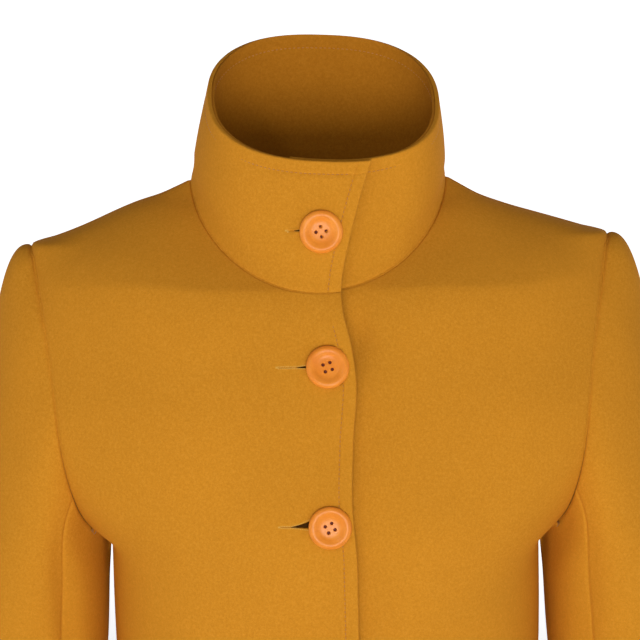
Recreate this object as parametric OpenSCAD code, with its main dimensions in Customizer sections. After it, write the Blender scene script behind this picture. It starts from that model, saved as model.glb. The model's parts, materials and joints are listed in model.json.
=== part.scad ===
// Single-breasted funnel-neck coat, shown buttoned, as if worn.
// Frame: origin between the two neck-side shoulder points, +Z up, front towards -Y, wearer's right towards -X.
// Millimetres throughout.

/* [Neck and collar] */
// Half width of the neck seam
neck_half_w = 91; // [88:0.5:94]
// Drop of the neck seam from the neck-side points to the centre front
neck_drop = 68; // [62:1:74]
// Height of the funnel collar's rim over the origin, at the centre front
rim_front_z = 24; // [20:1:36]
// Height of the rim over the origin, at the centre back
rim_back_z = 95; // [80:1:100]
// Half width of the rim
rim_half_w = 82; // [78:1:86]
// Sideways slump of the rim, as a slope towards the wearer's left
rim_slump = 0.05; // [0:0.01:0.09]

/* [Shoulders and sleeves] */
// Half width from centre front to the sleeve seam at the shoulder
shoulder_half_w = 205; // [200:1:210]
// Drop of the shoulder from the neck-side point to the sleeve seam
shoulder_drop = 43; // [38:1:48]
// Height of the elbow, measured from the origin
elbow_z = -375; // [-380:1:-370]
// Height of the cuff, measured from the origin
cuff_z = -645; // [-660:1:-630]

/* [Fronts] */
// Height of the hem, measured from the origin
hem_z = -840; // [-860:5:-820]
// Width of the lap past the centre front
lap = 21; // [18:1:23]
// Depth that the left front tucks behind the right one
tuck = 9.2; // [9:0.1:9.6]
// Width of each front facing
facing_w = 80; // [70:1:90]

/* [Cloth] */
// Thickness of the wool coating
cloth_t = 3; // [2.6:0.1:3.2]
// Thickness of the lining
lining_t = 1; // [0.8:0.1:1.2]
// Thickness of the interlining
interlining_t = 0.8; // [0.6:0.1:0.9]
// Thickness of the facings
facing_t = 2.2; // [1.8:0.1:2.4]

/* [Buttons] */
// Diameter of each button
button_d = 30; // [28:0.5:32]
// Thickness of each button at its rim
button_t = 4.6; // [4:0.1:5]
// Diameter of the four sewing holes
sew_hole_d = 2.3; // [2:0.1:2.5]
// Side of the square that the sewing holes stand on
sew_hole_pitch = 5; // [4.6:0.1:5.4]
// Length of each buttonhole
buttonhole_l = 36; // [34:0.5:38]
// Opening of each buttonhole across its length
buttonhole_w = 3.6; // [3.4:0.1:4]
// Diameter of the thread shank
shank_d = 2.8; // [2.4:0.1:3]

/* [Hidden] */
R = -1; // sign of x on the wearer's right
L = 1;  // sign of x on the wearer's left
wool = [0.76, 0.49, 0.14];
satin = [0.55, 0.36, 0.12];
orange = [0.92, 0.55, 0.22];
wadding = [0.85, 0.82, 0.75];
gap = 0.4; // clearance between layers and between neighbouring panels

// Layers, as depths below the cloth's outer face
interlining_0 = cloth_t + gap;
interlining_1 = interlining_0 + interlining_t;
facing_0 = interlining_1 + gap;
facing_1 = facing_0 + facing_t;
lining_0 = facing_0 + 0.9;
lining_1 = lining_0 + lining_t;

// Body profile stations, from the top down: [height, depth at the centre front, half width, depth at the centre back]
front_profile = [[-68, -88], [-115, -103], [-160, -115], [-228, -125], [-300, -120], [-375, -113],
                 [-470, -121], [-560, -129], [-700, -140], [hem_z, -148]];
side_profile = [[-254, 153], [-290, 153.5], [-330, 153], [-375, 150], [-450, 159], [-560, 184],
                [-700, 200], [hem_z, 213]];
back_profile = [[-15, 62], [-60, 78], [-110, 92], [-160, 99], [-230, 98], [-300, 90], [-375, 84],
                [-450, 96], [-540, 114], [-700, 126], [hem_z, 134]];
shoulder_y = 5;
// Sleeve seam round the armhole, from the shoulder to the underarm, on the wearer's left
armhole_front = [[shoulder_half_w, shoulder_y, -shoulder_drop], [200, -22, -72], [194, -46, -104],
                 [189, -60, -140], [185, -64, -175], [179, -59, -207], [170, -43, -236],
                 [160, -20, -250], [153, 0, -254]];
armhole_back = [[shoulder_half_w, shoulder_y, -shoulder_drop], [201, 30, -72], [197, 52, -104],
                [192, 64, -140], [187, 67, -175], [181, 62, -207], [171, 44, -236],
                [160, 20, -250], [153, 0, -254]];
// Sleeve stations: [height, centre x, half width, centre y, half depth]
sleeve_stations = [[-290, 210.5, 53.5, 0, 70], [-375, 218.5, 56.5, -3, 64], [-460, 234, 55, -9, 58],
                   [-560, 252, 52, -21, 53], [cuff_z, 265, 50, -34, 49]];
bicep_z = sleeve_stations[0][0];
swing_y = -7.5; // axis of the shoulder's swing, under which the sleeve hangs
swing_z = -150;
drum_half_w = 207;
drum_r = 114.5;
drum_gap = 1.3;
elbow_y = -12;
elbow_notch = 0.48; // slope of each side of the notch in front of the elbow's axis
full_curve = 0.62;  // Bezier handle, as a share of the span, for the body's cross-sections
neck_rows = 0.25;   // share of a front's rows that start on the neck seam
arm_rows = 0.42;    // share of a panel's rows that end on the armhole
back_neck_rows = 0.125;

// Buttons: height of each, its place across the centre front, and turn of its holes in degrees
button_z = [-25.3, -117.8, -226, -338, -450];
button_x = [1.4, 3.9, 3.3, 3, 3]; // towards the wearer's left
button_turn = [50, 18, 27, 8, 60];

// ---- Curves ----
function mix(a, b, t) = a + (b - a) * t;
function smooth(t) = let (c = min(1, max(0, t))) c * c * (3 - 2 * c);
function at(table, z) = lookup(z, table);
function column(table, k) = [for (row = table) [row[0], row[k]]];
function on_list(points, s) =
    let (f = min(1, max(0, s)) * (len(points) - 1), i = min(len(points) - 2, floor(f)))
    mix(points[i], points[i + 1], f - i);
function bezier(p, q, r, s, t) =
    p * pow(1 - t, 3) + q * 3 * t * pow(1 - t, 2) + r * 3 * t * t * (1 - t) + s * pow(t, 3);
function power(t, e) = sign(t) * pow(abs(t), e);

// Neck seam at angle a from the centre front, on the wearer's left
function neck(a) =
    let (c = cos(a))
    [neck_half_w * sin(a),
     shoulder_y - (c > 0 ? 93 : 57) * c,
     -(c > 0 ? neck_drop : 15) * pow(abs(c), 1.2)];

// ---- Fronts and backs, on the wearer's left; u runs outwards, v runs down ----
lap_angle = asin(lap / neck_half_w);
function front_inner_edge(v) =
    v < neck_rows ? neck(mix(90, -lap_angle, v / neck_rows))
    : let (z = mix(neck(-lap_angle)[2], hem_z, (v - neck_rows) / (1 - neck_rows)))
      [-lap, at(front_profile, min(z, -68)) + (z > -68 ? 0.8 : 0), z];
function back_inner_edge(v) =
    v < back_neck_rows ? neck(mix(90, 180, v / back_neck_rows))
    : let (z = mix(-15, hem_z, (v - back_neck_rows) / (1 - back_neck_rows))) [0, at(back_profile, z), z];
function outer_edge(v, armhole) =
    v < arm_rows ? on_list(armhole, v / arm_rows)
    : let (z = mix(-254, hem_z, (v - arm_rows) / (1 - arm_rows))) [at(side_profile, z), 0, z];
function across(inner, outer, u, v) =
    let (w = smooth(v / arm_rows), chord = (outer - inner) / 3,
         q = mix(inner + chord, [inner[0] + (outer[0] - inner[0]) * full_curve, inner[1], inner[2] + chord[2]], w),
         r = mix(outer - chord,
                 [outer[0], outer[1] + (inner[1] - outer[1]) * full_curve, outer[2] - chord[2]], w))
    bezier(inner, q, r, outer, u) - [0, 0, 2.5 * sin(180 * u) * (1 - smooth(v / 0.3))];
function front_at(u, v) = across(front_inner_edge(v), outer_edge(v, armhole_front), u, v);
function back_at(u, v) = across(back_inner_edge(v), outer_edge(v, armhole_back), u, v);
// The left front tucks behind the right one near the centre front
function tucked(p) =
    p + [0, tuck * (1 - smooth((p[0] - 34) / 52)) + 5.5 * smooth((lap + 10 - p[0]) / (2 * lap + 10)), 0];

// ---- Grids of points ----
function steps(a, b, n) = [for (i = [0 : n]) mix(a, b, i / n)];
function unit(v) = v / max(norm(v), 1e-9);
// Unit normals of a grid, on the side that s picks; a wrapped grid closes on itself along its rows
function normals(g, s, wrap) =
    let (n = len(g) - 1, m = len(g[0]) - 1)
    [for (i = [0 : n]) [for (j = [0 : m])
        let (after = wrap ? (j + 1) % (m + 1) : min(m, j + 1),
             before = wrap ? (j + m) % (m + 1) : max(0, j - 1))
        s * unit(cross(g[i][after] - g[i][before], g[min(n, i + 1)][j] - g[max(0, i - 1)][j]))]];
function below(g, s, depth, wrap = false) =
    let (k = normals(g, s, wrap))
    [for (i = [0 : len(g) - 1]) [for (j = [0 : len(g[0]) - 1]) g[i][j] + k[i][j] * depth]];
// Below a grid by a depth of its own at every point
function below_each(g, s, depths) =
    let (k = normals(g, s, false))
    [for (i = [0 : len(g) - 1]) [for (j = [0 : len(g[0]) - 1]) g[i][j] + k[i][j] * depths[i][j]]];
function mirrored(g, side) = [for (row = g) [for (p = row) [p[0] * side, p[1], p[2]]]];

// A closed solid between two grids of the same size
module slab(a, b, flip, wrap = false) {
    n = len(a);
    m = len(a[0]);
    columns = wrap ? m - 1 : m - 2;
    points = concat([for (row = a) each row], [for (row = b) each row]);
    function id(i, j, k) = k * n * m + i * m + j % m;
    quads = concat(
        [for (i = [0 : n - 2]) for (j = [0 : columns])
            [id(i, j, 0), id(i, j + 1, 0), id(i + 1, j + 1, 0), id(i + 1, j, 0)]],
        [for (i = [0 : n - 2]) for (j = [0 : columns])
            [id(i, j, 1), id(i + 1, j, 1), id(i + 1, j + 1, 1), id(i, j + 1, 1)]],
        [for (j = [0 : columns]) [id(0, j, 0), id(0, j, 1), id(0, j + 1, 1), id(0, j + 1, 0)]],
        [for (j = [0 : columns])
            [id(n - 1, j, 0), id(n - 1, j + 1, 0), id(n - 1, j + 1, 1), id(n - 1, j, 1)]],
        wrap ? [] : concat(
            [for (i = [0 : n - 2]) [id(i, 0, 0), id(i + 1, 0, 0), id(i + 1, 0, 1), id(i, 0, 1)]],
            [for (i = [0 : n - 2])
                [id(i, m - 1, 0), id(i, m - 1, 1), id(i + 1, m - 1, 1), id(i + 1, m - 1, 0)]]));
    faces = [for (q = quads) each [[q[0], q[1], q[2]], [q[0], q[2], q[3]]]];
    polyhedron(points, flip ? [for (f = faces) [f[2], f[1], f[0]]] : faces);
}

// A layer of a panel: its grid is drawn on the wearer's left and mirrored for the right
module layer(g, side, depth_0, depth_1) {
    slab(mirrored(below(g, 1, depth_0), side), mirrored(below(g, 1, depth_1), side), side == R);
}

front_v = steps(0, 1, 24);
facing_u = facing_w / 200;
front_u = [0, 0.09, 0.18, 0.29, facing_u, 0.52, 0.64, 0.76, 0.88, 1];
facing_columns = 4;
seam = 0.0015; // half a seam, as a share of a panel's width
function front_grid(side, us, vs) =
    [for (v = vs) [for (u = us) let (p = front_at(u, v)) side == L ? tucked(p) : p]];
function inset(us) = [for (i = [0 : len(us) - 1]) i == len(us) - 1 ? us[i] - seam * 2 : us[i]];
function upto(list, a, b) = [for (i = [a : b]) list[i]];
function without_edges(vs, top, bottom) = concat([top], upto(vs, 1, len(vs) - 2), [bottom]);

module buttonholes(from, to) {
    for (i = [from : to]) at_button(i)
        translate([-buttonhole_l / 2 + 3, 0, 0]) cube([buttonhole_l, buttonhole_w, 40], center = true);
}

module front(side) {
    color(wool) difference() {
        layer(front_grid(side, inset(front_u), without_edges(front_v, 0.003, 1)), side, 0, cloth_t);
        if (side == R) buttonholes(1, 4);
    }
}

module interlining(side) {
    us = upto(front_u, 0, facing_columns);
    vs = upto(front_v, 1, len(front_v) - 2);
    color(wadding) difference() {
        layer(front_grid(side, concat([0.01], upto(us, 1, facing_columns)), vs), side,
              interlining_0, interlining_1);
        if (side == R) buttonholes(1, 4);
    }
}

module facing(side) {
    us = upto(front_u, 0, facing_columns);
    color(wool) difference() {
        layer(front_grid(side, us, without_edges(front_v, 0.004, 0.995)), side, facing_0, facing_1);
        if (side == R) buttonholes(1, 4);
    }
}

// Depth that the lining hangs lower by, to leave room for the shoulder pad
function pad_room(u, v) = 12 * smooth((u - 0.28) / 0.42) * (1 - smooth((v - 0.06) / 0.14));

module lining_front(side) {
    us = concat([facing_u + 0.014], upto(front_u, facing_columns + 1, 8), [0.985]);
    vs = concat([0.032], upto(front_v, 1, 22), [0.97]);
    g = front_grid(side, us, vs);
    function lower(extra) = [for (v = vs) [for (u = us) lining_0 + extra + pad_room(u, v)]];
    color(satin)
        slab(mirrored(below_each(g, 1, lower(0)), side),
             mirrored(below_each(g, 1, lower(lining_t)), side), side == R);
}

back_v = steps(0, 1, 24);
back_u = [0, 0.14, 0.28, 0.42, 0.56, 0.7, 0.85, 1];
function back_grid(us, vs) = [for (v = vs) [for (u = us) back_at(u, v)]];

module back(side) {
    us = concat([0.002], upto(back_u, 1, 6), [1 - seam * 2]);
    g = back_grid(us, without_edges(back_v, 0.003, 1));
    color(wool)
        slab(mirrored(below(g, -1, 0), side), mirrored(below(g, -1, cloth_t), side), side == L);
}

// One piece round the back of the neck: its two halves run into each other at the centre back
neck_facing_rows = 4;
module back_neck_facing() {
    vs = concat([0.01], upto(back_v, 1, neck_facing_rows));
    us = concat([-0.006], upto(back_u, 1, 3));
    g = back_grid(us, vs);
    color(wool) union() for (side = [R, L])
        slab(mirrored(below(g, -1, facing_0), side), mirrored(below(g, -1, facing_1), side), side == L);
}

module lining_back() {
    vs = concat([back_v[neck_facing_rows] + 0.004], upto(back_v, neck_facing_rows + 1, 22), [0.97]);
    us = concat(upto(back_u, 0, 6), [0.985]);
    half = back_grid(us, vs);
    g = [for (i = [0 : len(vs) - 1])
        concat([for (j = [len(us) - 1 : -1 : 1]) [-half[i][j][0], half[i][j][1], half[i][j][2]]], half[i])];
    color(satin) slab(below(g, -1, lining_0), below(g, -1, lining_1), true);
}

// Crescent pad under the shoulder seam, lying over both front and back
module shoulder_pad(side) {
    us = [0.46, 0.56, 0.66, 0.76, 0.88, 0.955];
    rows = [0.125, 0.083, 0.042, 0.01];
    front_rows = [for (v = rows) [for (u = us) front_at(u, v)]];
    back_rows = [for (i = [3 : -1 : 0]) [for (u = us) back_at(u, rows[i])]];
    g = concat(front_rows, back_rows);
    function depth(i, j) = 1 + 7 * sin(180 * i / 7) * smooth(j / 4);
    top = [for (i = [0 : 7]) [for (j = [0 : 5]) cloth_t + 2]];
    bottom = [for (i = [0 : 7]) [for (j = [0 : 5]) cloth_t + 2 + depth(i, j)]];
    color(wadding)
        slab(mirrored(below_each(g, -1, top), side), mirrored(below_each(g, -1, bottom), side), side == L);
}

// ---- Collar: a runs round the neck from the right front's edge, h runs up ----
collar_columns = 34;
function collar_angle(k, h) =
    let (s = k / collar_columns, start = -lap_angle - 10 * pow(h, 1.5))
    mix(start, 360 + lap_angle, s);
function rim(a) =
    let (x = 5 - rim_half_w * power(sin(a), 0.82), y = -5 - 76 * power(cos(a), 0.82))
    [x, y, rim_front_z + (y + 80) * (rim_back_z - rim_front_z) / 150 - rim_slump * x];
function neck_round(a) = let (p = neck(a)) [-p[0], p[1], p[2]];
function collar_at(k, h) =
    let (a = collar_angle(k, h), p = mix(neck_round(a), rim(a), h), out = unit([p[0], p[1] + 10, 0]),
         under = tuck * smooth((a - 300) / 28), over = 2.4 * pow(h, 2) * smooth((14 - a) / 34))
    p + out * (over - under);
collar_h = [0.02, 0.2, 0.4, 0.6, 0.8, 1];
function collar_grid(hs, from, to) = [for (h = hs) [for (k = [from : to]) collar_at(k, h)]];

module collar_layer(hs, from, to, depth_0, depth_1) {
    g = collar_grid(hs, from, to);
    slab(below(g, 1, depth_0), below(g, 1, depth_1), false);
}

module collar_outer() {
    color(wool) difference() {
        collar_layer(collar_h, 0, collar_columns, 0, cloth_t);
        buttonholes(0, 0);
    }
}

module collar_interlining() {
    color(wadding) difference() {
        collar_layer([0.05, 0.2, 0.4, 0.6, 0.8, 0.96], 0, collar_columns, interlining_0, interlining_1);
        buttonholes(0, 0);
    }
}

module collar_inner() {
    color(wool) difference() {
        collar_layer([0.03, 0.2, 0.4, 0.6, 0.8, 1], 0, collar_columns, facing_0, facing_1);
        buttonholes(0, 0);
    }
}

// ---- Buttons, their holes and their thread ----
function button_tilt(i) =
    i == 0 ? atan(8 / (rim_front_z + neck_drop))
    : atan((at(front_profile, button_z[i] + 12) - at(front_profile, button_z[i] - 12)) / 24);
function button_y(i) =
    i == 0 ? mix(-88, -80, (button_z[0] + neck_drop) / (rim_front_z + neck_drop)) - 0.5
    : at(front_profile, button_z[i]);
// Puts +Z along the front's outward normal at a button's centre, and +X towards the wearer's left
module at_button(i) {
    translate([button_x[i], button_y(i), button_z[i]]) rotate([90 - button_tilt(i), 0, 0]) children();
}
button_gap = 1.4; // clearance between a button's back and the cloth

module button_body() {
    r = button_d / 2;
    difference() {
        rotate_extrude($fn = 64) polygon([
            [0, 0.6], [r - 5, 0], [r - 1.4, 0.5], [r, 1.9], [r, button_t - 1.9],
            [r - 0.7, button_t - 0.6], [r - 2.2, button_t], [r - 4, button_t - 0.4],
            [r - 6.5, button_t - 1.6], [r - 8.5, button_t - 2], [0, button_t - 2.1]]);
        for (x = [-1, 1], y = [-1, 1])
            translate([x * sew_hole_pitch / 2, y * sew_hole_pitch / 2, -1])
                cylinder(d = sew_hole_d, h = button_t + 2, $fn = 24);
    }
}

module button(i) {
    color(orange) at_button(i) rotate([0, 0, button_turn[i]]) translate([0, 0, button_gap]) button_body();
}

module thread_shanks() {
    color(wool) for (i = [0 : 4]) at_button(i)
        translate([0, 0, 0.4 - tuck]) cylinder(d = shank_d, h = tuck + 0.8, $fn = 24);
}

// Point of the front at a given x and height, and of the collar at a given angle and height
function front_spot(x, z, u = 0.1, v = 0.5, n = 14) =
    let (p = front_at(u, v))
    n == 0 ? p : front_spot(x, z, u + (x - p[0]) / 370, v + (p[2] - z) / 1000, n - 1);
function collar_spot(x, z, k = 1, h = 0.5, n = 14) =
    let (p = collar_at(k, h))
    n == 0 ? p : collar_spot(x, z, k + (p[0] - x) / 16, h + (z - p[2]) / 96, n - 1);

// A narrow band of stitching along each side of every buttonhole
module buttonhole_stitching() {
    xs = steps(-3, buttonhole_l - 3, 5);
    color(wool) for (i = [0 : 4], edge = [-3.7, 2.3]) {
        rows = [button_z[i] + edge + 1.4, button_z[i] + edge];
        g = [for (z = rows) [for (x = xs)
            i > 0 ? front_spot(x - button_x[i], z)
            : let (p = collar_spot(button_x[i] - x, z)) [-p[0], p[1], p[2]]]];
        layer(g, R, -0.9, -0.3);
    }
}

module hanger_loop() {
    half = 32;
    drop = 26;
    y = 47;
    z = -25;
    color(wool) for (s = [-1, 1]) {
        translate([s * half, y, z - drop / 2]) cube([5, 1.4, drop], center = true);
        translate([0, y, z - drop - 2.5]) cube([2 * half + 5, 1.4, 5], center = true);
    }
}

// ---- Sleeves, on the wearer's left; q runs round from the top over the front, t runs down the cap ----
function armhole_at(q) = q <= 0.5 ? on_list(armhole_front, q * 2) : on_list(armhole_back, (1 - q) * 2);
function sleeve_ring(q, z) =
    [at(column(sleeve_stations, 1), z) + at(column(sleeve_stations, 2), z) * cos(360 * q),
     at(column(sleeve_stations, 3), z) - at(column(sleeve_stations, 4), z) * sin(360 * q), z];
function turn(q) = q - floor(q);
function cap_at(q0, t) =
    let (q = turn(q0), a = armhole_at(q), b = sleeve_ring(q, bicep_z), c = cos(360 * q), s = sin(360 * q),
         top = c > 0 ? c * c : 0, low = c < 0 ? c * c : 0, side = s * s,
         out = top * [30, 0, 10] + side * [14, -7 * s, -25] + low * [0, 0, -12],
         up = top * [-22, 0, 128] + side * [-6, 0, 45] + low * [0, 0, 12])
    bezier(a, a + out, b + up, b, t);
// How far a point lies outside the zone that the shoulder covers: a drum about the swing's axis
function clear_of_drum(p) =
    max(p[0] - drum_half_w, norm([p[1] - swing_y, p[2] - swing_z]) - drum_r);
function cross_drum(q, margin, a, b, n) =
    let (c = (a + b) / 2)
    n == 0 ? c : clear_of_drum(cap_at(q, c)) > margin ? cross_drum(q, margin, a, c, n - 1)
    : cross_drum(q, margin, c, b, n - 1);
// Share of the cap at which the sleeve's surface leaves that zone
function head_end(q) = cross_drum(q, -drum_gap, 0, 1, 12);
function swing_start(q) = cross_drum(q, drum_gap, 0, 1, 12);
function notch(q, z, s) =
    let (p = sleeve_ring(q, z)) s * max(0, elbow_y - p[1]) * elbow_notch;

ring_q = [for (k = [0 : 31]) k / 32];
module ring(g, side, depth_0, depth_1) {
    slab(mirrored(below(g, -1, depth_0, true), side), mirrored(below(g, -1, depth_1, true), side),
         side == L, true);
}

module sleeve_head(side) {
    g = [for (t = [0.03, 0.5, 1]) [for (q = ring_q) cap_at(q, head_end(q) * t)]];
    color(wool) ring(g, side, 0, cloth_t);
}

function upper_grid(qs, cap_rows, to_elbow) =
    concat([for (t = cap_rows) [for (q = qs) cap_at(q, mix(swing_start(turn(q)), 1, t))]],
           [for (t = to_elbow) [for (q = qs)
               sleeve_ring(q, mix(bicep_z, elbow_z + 0.6 + notch(q, elbow_z, 1), t))]]);
function lower_grid(qs, rows, bottom) =
    [for (t = rows) [for (q = qs) sleeve_ring(q, mix(elbow_z - 0.6 - notch(q, elbow_z, 1), bottom, t))]];

front_seam = 0.33; // where the sleeve's two long seams run round its girth
back_seam = 0.72;
seam_q = 0.001;
top_q = steps(back_seam - 1 + seam_q, front_seam - seam_q, 16);
under_q = steps(front_seam + seam_q, back_seam - seam_q, 11);
cap_rows = [0.02, 0.12, 0.24, 0.4, 0.6, 0.8];

module sleeve_part(g, side, depth_0, depth_1) {
    slab(mirrored(below(g, -1, depth_0), side), mirrored(below(g, -1, depth_1), side), side == L);
}

module sleeve_upper(side, qs) {
    color(wool) sleeve_part(upper_grid(qs, cap_rows, [0, 0.35, 0.7, 1]), side, 0, cloth_t);
}

module sleeve_lower(side, qs) {
    color(wool) sleeve_part(lower_grid(qs, steps(0, 1, 8), cuff_z), side, 0, cloth_t);
}

lining_q = [for (k = [0 : 23]) k / 24];
module sleeve_lining_upper(side) {
    color(satin)
        ring(upper_grid(lining_q, [0.17, 0.28, 0.42, 0.6, 0.8], [0, 0.35, 0.7, 1]), side, 8.6, 9.6);
}

module sleeve_lining_lower(side) {
    color(satin) ring(lower_grid(lining_q, steps(0, 1, 7), cuff_z + 42), side, lining_0, lining_1);
}

module cuff_facing(side) {
    g = [for (z = steps(cuff_z + 41, cuff_z + 1, 2)) [for (q = lining_q) sleeve_ring(q, z)]];
    color(wool) ring(g, side, facing_0, facing_1);
}

// Soft roll of wadding that fills out the top of the sleeve
module sleeve_roll(side) {
    qs = steps(-0.16, 0.16, 8);
    g = [for (t = [0.13, 0.19, 0.26, 0.34]) [for (q = qs) cap_at(q, mix(swing_start(turn(q)), 1, t))]];
    function depth(i, j) = 5.2 + 2.2 * sin(180 * (j + 0.4) / 8.8) * sin(45 + 30 * i);
    tops = [for (i = [0 : 3]) [for (j = [0 : 8]) 4.8]];
    depths = [for (i = [0 : 3]) [for (j = [0 : 8]) depth(i, j)]];
    color(wadding)
        slab(mirrored(below_each(g, -1, tops), side), mirrored(below_each(g, -1, depths), side), side == L);
}

front(R);  // right_front
front(L);  // left_front
back(R);  // back_right
back(L);  // back_left
facing(R);  // right_facing
facing(L);  // left_facing
back_neck_facing();
interlining(R);  // right_interlining
interlining(L);  // left_interlining
collar_outer();
collar_inner();
collar_interlining();
lining_front(R);  // lining_front_right
lining_front(L);  // lining_front_left
lining_back();
shoulder_pad(R);  // shoulder_pad_right
shoulder_pad(L);  // shoulder_pad_left
buttonhole_stitching();
thread_shanks();
button(0);  // button_1
button(1);  // button_2
button(2);  // button_3
button(3);  // button_4
button(4);  // button_5
hanger_loop();
sleeve_head(R);  // sleeve_head_right
sleeve_head(L);  // sleeve_head_left
sleeve_upper(R, top_q);  // top_sleeve_upper_right
sleeve_upper(L, top_q);  // top_sleeve_upper_left
sleeve_upper(R, under_q);  // under_sleeve_upper_right
sleeve_upper(L, under_q);  // under_sleeve_upper_left
sleeve_lining_upper(R);  // sleeve_lining_upper_right
sleeve_lining_upper(L);  // sleeve_lining_upper_left
sleeve_roll(R);  // sleeve_roll_right
sleeve_roll(L);  // sleeve_roll_left
sleeve_lower(R, top_q);  // top_sleeve_lower_right
sleeve_lower(L, top_q);  // top_sleeve_lower_left
sleeve_lower(R, under_q);  // under_sleeve_lower_right
sleeve_lower(L, under_q);  // under_sleeve_lower_left
sleeve_lining_lower(R);  // sleeve_lining_lower_right
sleeve_lining_lower(L);  // sleeve_lining_lower_left
cuff_facing(R);  // cuff_facing_right
cuff_facing(L);  // cuff_facing_left
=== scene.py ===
"""Single-breasted funnel-neck coat in wool: the look of each piece, in the CAD model's frame."""

import bmesh
import bpy
import json
import math
import numpy as np
from mathutils import Matrix, Vector


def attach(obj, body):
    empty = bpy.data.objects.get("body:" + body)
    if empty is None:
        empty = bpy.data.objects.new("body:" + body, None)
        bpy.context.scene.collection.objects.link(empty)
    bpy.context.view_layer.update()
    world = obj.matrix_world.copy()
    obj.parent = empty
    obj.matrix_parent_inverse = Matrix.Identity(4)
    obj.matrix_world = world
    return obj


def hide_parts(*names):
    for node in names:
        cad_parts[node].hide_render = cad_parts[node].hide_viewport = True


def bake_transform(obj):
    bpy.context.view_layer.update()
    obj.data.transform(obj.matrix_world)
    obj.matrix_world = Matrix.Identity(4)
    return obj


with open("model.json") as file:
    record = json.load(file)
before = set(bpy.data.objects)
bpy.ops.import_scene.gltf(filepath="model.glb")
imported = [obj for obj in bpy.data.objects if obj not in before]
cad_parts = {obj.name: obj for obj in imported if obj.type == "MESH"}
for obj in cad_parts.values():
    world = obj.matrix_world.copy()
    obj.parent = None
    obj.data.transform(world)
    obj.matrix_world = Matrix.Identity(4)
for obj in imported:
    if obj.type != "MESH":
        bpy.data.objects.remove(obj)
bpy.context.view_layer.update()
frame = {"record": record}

# Sizes are in millimetres here, as in the CAD model, and turned into metres in mesh()
MM = 0.001
CLOTH = 3.0
FACING, FACING_DEPTH = 1.9, 3.1  # thickness, and depth below the coat's face
LINING, LINING_DEPTH, LINING_EDGE = 0.8, 5.4, 0.4
FACING_U, LINING_U = 0.40, 0.985  # how far across a panel each reaches
NECK_HALF_W = 91.0
NECK_DROP, NECK_DROP_BACK, NECK_POWER = 68.0, 15.0, 1.2
MIDDLE_Y = 5.0
UNDERARM, CAP_END, SPLIT, CUFF, HEM = -254.0, -290.0, -340.0, -645.0, -840.0
NECK_ROWS, ARM_ROWS, BACK_NECK_ROWS = 0.25, 0.42, 0.125  # shares of a panel's rows
LAP_NECK, UNDER_ANGLE = 9.2, 13.3  # where the lapping and the lower edge meet the neck seam, degrees
LAP_UNDER = 21.0  # how far the lower front edge lies past the centre
TUCK = 6.4
TOPSTITCH_IN = 9.5
HEM_FOLD = 30.0
JOINTS = {j["name"]: j for j in frame["record"]["behaviour"]["joints"]}
BUTTONS = [np.array(JOINTS["button_swivel_%d" % k]["pos_m"]) / MM for k in range(1, 6)]
BUTTON_LIFT = 2.2  # from each button's joint to the bottom of its back
BUTTON_X, BUTTON_Z = [p[0] for p in BUTTONS], [p[2] for p in BUTTONS]
BUTTON_TURN = [50, 18, 27, 8, 60]
R, L = -1, 1
SIDE_NAME = {R: "right", L: "left"}


# ---- Curves ----
def smooth(t):
    t = np.clip(t, 0.0, 1.0)
    return t * t * (3 - 2 * t)


def power(t, e):
    return np.sign(t) * np.abs(t) ** e


def bell(x, centre, width):
    """A smooth hump, 1 at its centre."""
    return np.exp(-(((x - centre) / width) ** 2))


def unit(v):
    return v / np.maximum(np.linalg.norm(v, axis=-1, keepdims=True), 1e-9)


def run_length(p):
    """Length along a line of points, from the first to each."""
    return np.concatenate([[0], np.cumsum(np.linalg.norm(np.diff(p, axis=0), axis=1))])


class Curve:
    """Monotone cubic curve through a table of points."""

    def __init__(self, table):
        table = sorted(table)
        self.x = np.array([p[0] for p in table], float)
        self.y = np.array([p[1] for p in table], float)
        h, d = np.diff(self.x), np.diff(self.y) / np.diff(self.x)
        m = np.zeros(len(self.x))
        m[0], m[-1] = d[0], d[-1]
        for i in range(1, len(m) - 1):
            if d[i - 1] * d[i] > 0:
                w1, w2 = 2 * h[i] + h[i - 1], h[i] + 2 * h[i - 1]
                m[i] = (w1 + w2) / (w1 / d[i - 1] + w2 / d[i])
        self.m = m

    def __call__(self, x):
        x = np.asarray(x, float)
        i = np.clip(np.searchsorted(self.x, x) - 1, 0, len(self.x) - 2)
        h = self.x[i + 1] - self.x[i]
        t = np.clip((x - self.x[i]) / h, -0.05, 1.05)
        return (
            self.y[i] * (1 + 2 * t) * (1 - t) ** 2
            + self.m[i] * h * t * (1 - t) ** 2
            + self.y[i + 1] * t * t * (3 - 2 * t)
            + self.m[i + 1] * h * t * t * (t - 1)
        )


# The body's half width, how square its outline is, and its depth to the front and back, by height
HALF_W = Curve([(0, 91), (-6, 102), (-12.5, 115), (-18.5, 132), (-25, 150), (-32.3, 170), (-39, 190),
                (-43.5, 205.2), (-72, 211), (-104, 224), (-140, 233), (-175, 227), (-207, 204), (-236, 177),
                (-250, 161), (-254, 154.5), (-262, 153.5), (-290, 153.5), (-330, 153), (-375, 150),
                (-450, 159), (-560, 184), (-700, 200), (-840, 213)])
ROUND = Curve([(0, 2.0), (-120, 2.0), (-160, 2.1), (-175, 2.15), (-207, 2.3), (-236, 2.5), (-254, 2.6),
               (-330, 2.5), (-450, 2.3), (-840, 2.2)])
FRONT = Curve([(0, 15), (-10, 28.8), (-20, 42.3), (-40, 63.9), (-60, 85.4), (-68, 93), (-115, 108),
               (-160, 119), (-228, 126.5), (-300, 120), (-375, 113), (-470, 121), (-560, 129), (-700, 140),
               (-840, 148)])
BACK = Curve([(0, 20), (-5, 38), (-10, 48.3), (-15, 57), (-30, 63), (-60, 73), (-110, 87), (-160, 94),
              (-230, 93), (-300, 88), (-375, 84), (-450, 96), (-540, 114), (-700, 126), (-840, 134)])
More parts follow.
